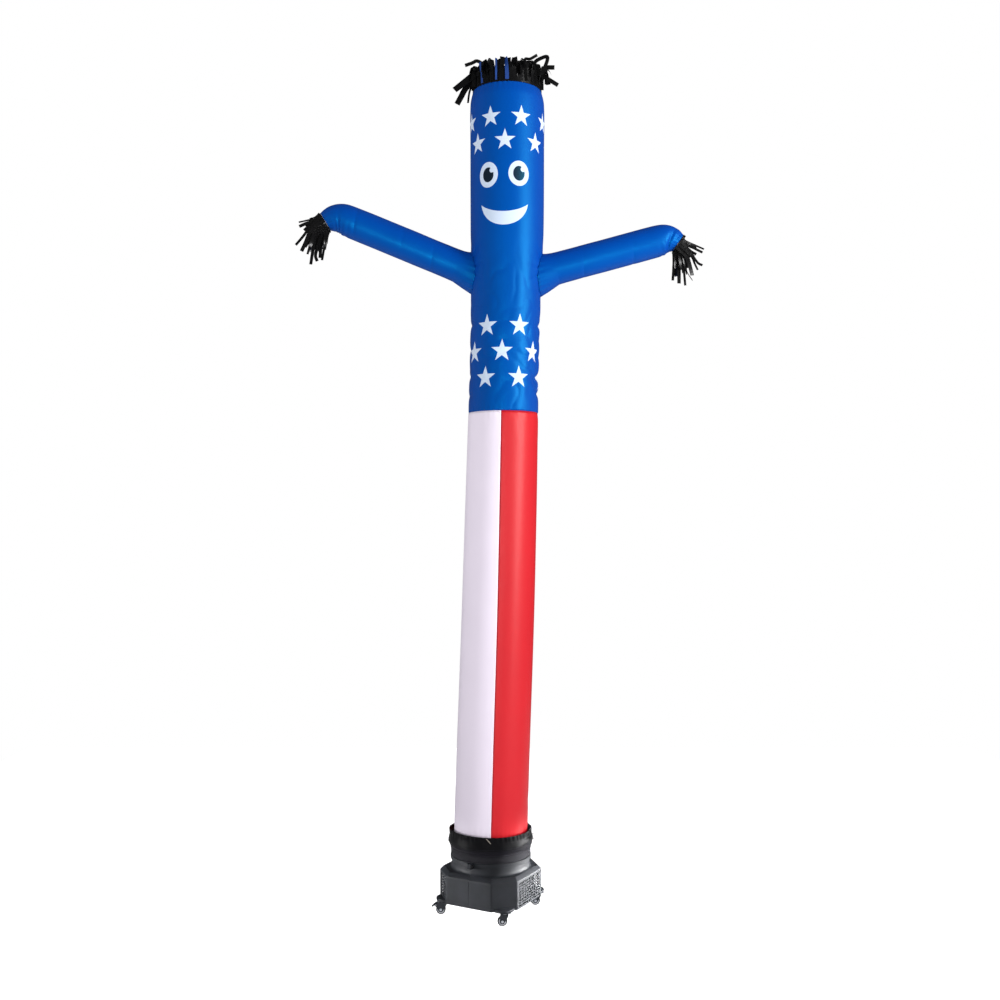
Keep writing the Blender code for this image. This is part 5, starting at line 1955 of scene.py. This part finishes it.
# ---- studio
@dataclass
class Studio:
    """White paper floor, soft lights and a camera at eye level."""

    distance: float = VIEW_DISTANCE
    eye: float = EYE_HEIGHT
    lens: float = 41.22
    horizon_shift: float = 0.018
    ambient: float = 1.42
    zenith: float = 0.20
    mirrored: float = 0.06
    paper: float = 3.2  # half the width of the floor

    def light(
        self, name: str, place: Triple, aim: Triple, size: Pair, power: float,
        spread: float = 180.0, diffuse: bool = True,
    ) -> None:
        """Hangs a rectangular soft light.

        Args:
            name: its name.
            place: where it hangs.
            aim: what it points at.
            size: its width and height.
            power: in watts.
            spread: the angle that its light fills, in degrees.
            diffuse: whether it lights matt surfaces too, or only shines in glossy ones.
        """
        data = bpy.data.lights.new(name, "AREA")
        data.shape, data.size, data.size_y, data.energy = "RECTANGLE", size[0], size[1], power
        data.spread = math.radians(spread)
        lamp = bpy.data.objects.new(name, data)
        lamp.location = place
        lamp.visible_diffuse = diffuse
        lamp.rotation_euler = (Vector(aim) - Vector(place)).to_track_quat("-Z", "Y").to_euler()
        bpy.context.scene.collection.objects.link(lamp)

    def build(self) -> None:
        """Sets up the floor, the lights, the world and the camera."""
        scene = bpy.context.scene
        scene.view_settings.view_transform = "Standard"
        floor_mesh = bmesh.new()
        bmesh.ops.create_grid(floor_mesh, x_segments=1, y_segments=1, size=self.paper)
        data = bpy.data.meshes.new("paper_floor")
        floor_mesh.to_mesh(data)
        floor_mesh.free()
        data.materials.append(Paper().material())
        floor = bpy.data.objects.new("paper_floor", data)
        scene.collection.objects.link(floor)
        world = scene.world or bpy.data.worlds.new("studio")
        scene.world = world
        world.use_nodes = True
        background = world.node_tree.nodes["Background"]
        background.inputs["Color"].default_value = linear("ffffff")
        tree = world.node_tree
        rays = add_node(tree, "LightPath").outputs
        way = add_node(tree, "TexCoord").outputs["Generated"]
        height = add_node(tree, "SeparateXYZ", {0: way}).outputs["Z"]
        sky = {"Value": height, "From Min": -0.3, "To Min": self.ambient, "To Max": self.zenith}
        strength = add_node(tree, "MapRange", sky).outputs[0]
        for ray, value in (("Is Glossy Ray", self.mirrored), ("Is Camera Ray", 1.0)):
            inputs = {"Value": rays[ray], "To Min": strength, "To Max": value}
            strength = add_node(tree, "MapRange", inputs).outputs[0]
        tree.links.new(strength, background.inputs["Strength"])
        self.light("key_right", (3.39, -2.12, 2.6), (0, 0, 2.0), (1.1, 3.0), 135)
        self.light("front_low", (-0.4, -4.3, 0.9), (0, 0, 0.85), (2.2, 0.5), 1.3, 36)
        self.light("strip_for_arms", (-0.3, -4.3, 0.9), (0, 0, 2.75), (2.4, 0.35), 6.5, 42, diffuse=False)
        self.light("fill_low", (-1.75, -0.31, 0.28), (0, 0, 0.10), (0.5, 0.2), 0.85, 15)
        self.light("edge_low", (1.75, 0.30, 0.28), (0, 0, 0.10), (0.5, 0.2), 4.4, 15)
        lens = bpy.data.cameras.new("camera")
        lens.lens, lens.sensor_width, lens.shift_y = self.lens, 36, self.horizon_shift
        lens.clip_end = 200
        camera = bpy.data.objects.new("camera", lens)
        camera.location = (0, -self.distance, self.eye)
        camera.rotation_euler = (math.radians(90), 0, 0)
        scene.collection.objects.link(camera)
        scene.camera = camera


def main() -> None:
    logging.basicConfig(level=logging.INFO, format="%(name)s: %(message)s")
    body = Body()
    body.upper()
    body.lower()
    left = Arm(
        Side.LEFT, 2.549, 22.35, 0.540, 53.4, 0.094, gusset=0.013, seed=3,
        dents=(
            (0.26, 3.6, 0.0016, 0.012), (0.47, 2.9, 0.0011, 0.012),
            (0.79, 3.3, 0.0022, 0.012), (0.905, 3.9, 0.0030, 0.009),
        ),
    )
    right = Arm(
        Side.RIGHT, 2.545, 15.2, 0.497, 50.1, 0.080, gusset=0.022, seed=5,
        dents=(
            (0.30, 3.9, 0.0016, 0.012), (0.66, 4.2, 0.0018, 0.012),
            (0.935, 3.35, 0.0085, 0.014), (0.972, 2.7, 0.0040, 0.010),
        ),
    )
    for arm, fan in ((left, LEFT_FAN), (right, RIGHT_FAN)):
        arm.build()
        HandFringe(arm, fan).build()
    HeadFringe().build()
    Cuff().build()
    blower = Blower()
    blower.build()
    corners = (("front", -45, False), ("right", 45, False), ("back", 135, True), ("left", 225, True))
    for name, quarter, brake in corners:
        Caster(name, blower.swivel(quarter), brake).build()
    Studio().build()


if __name__ == "__main__":
    main()
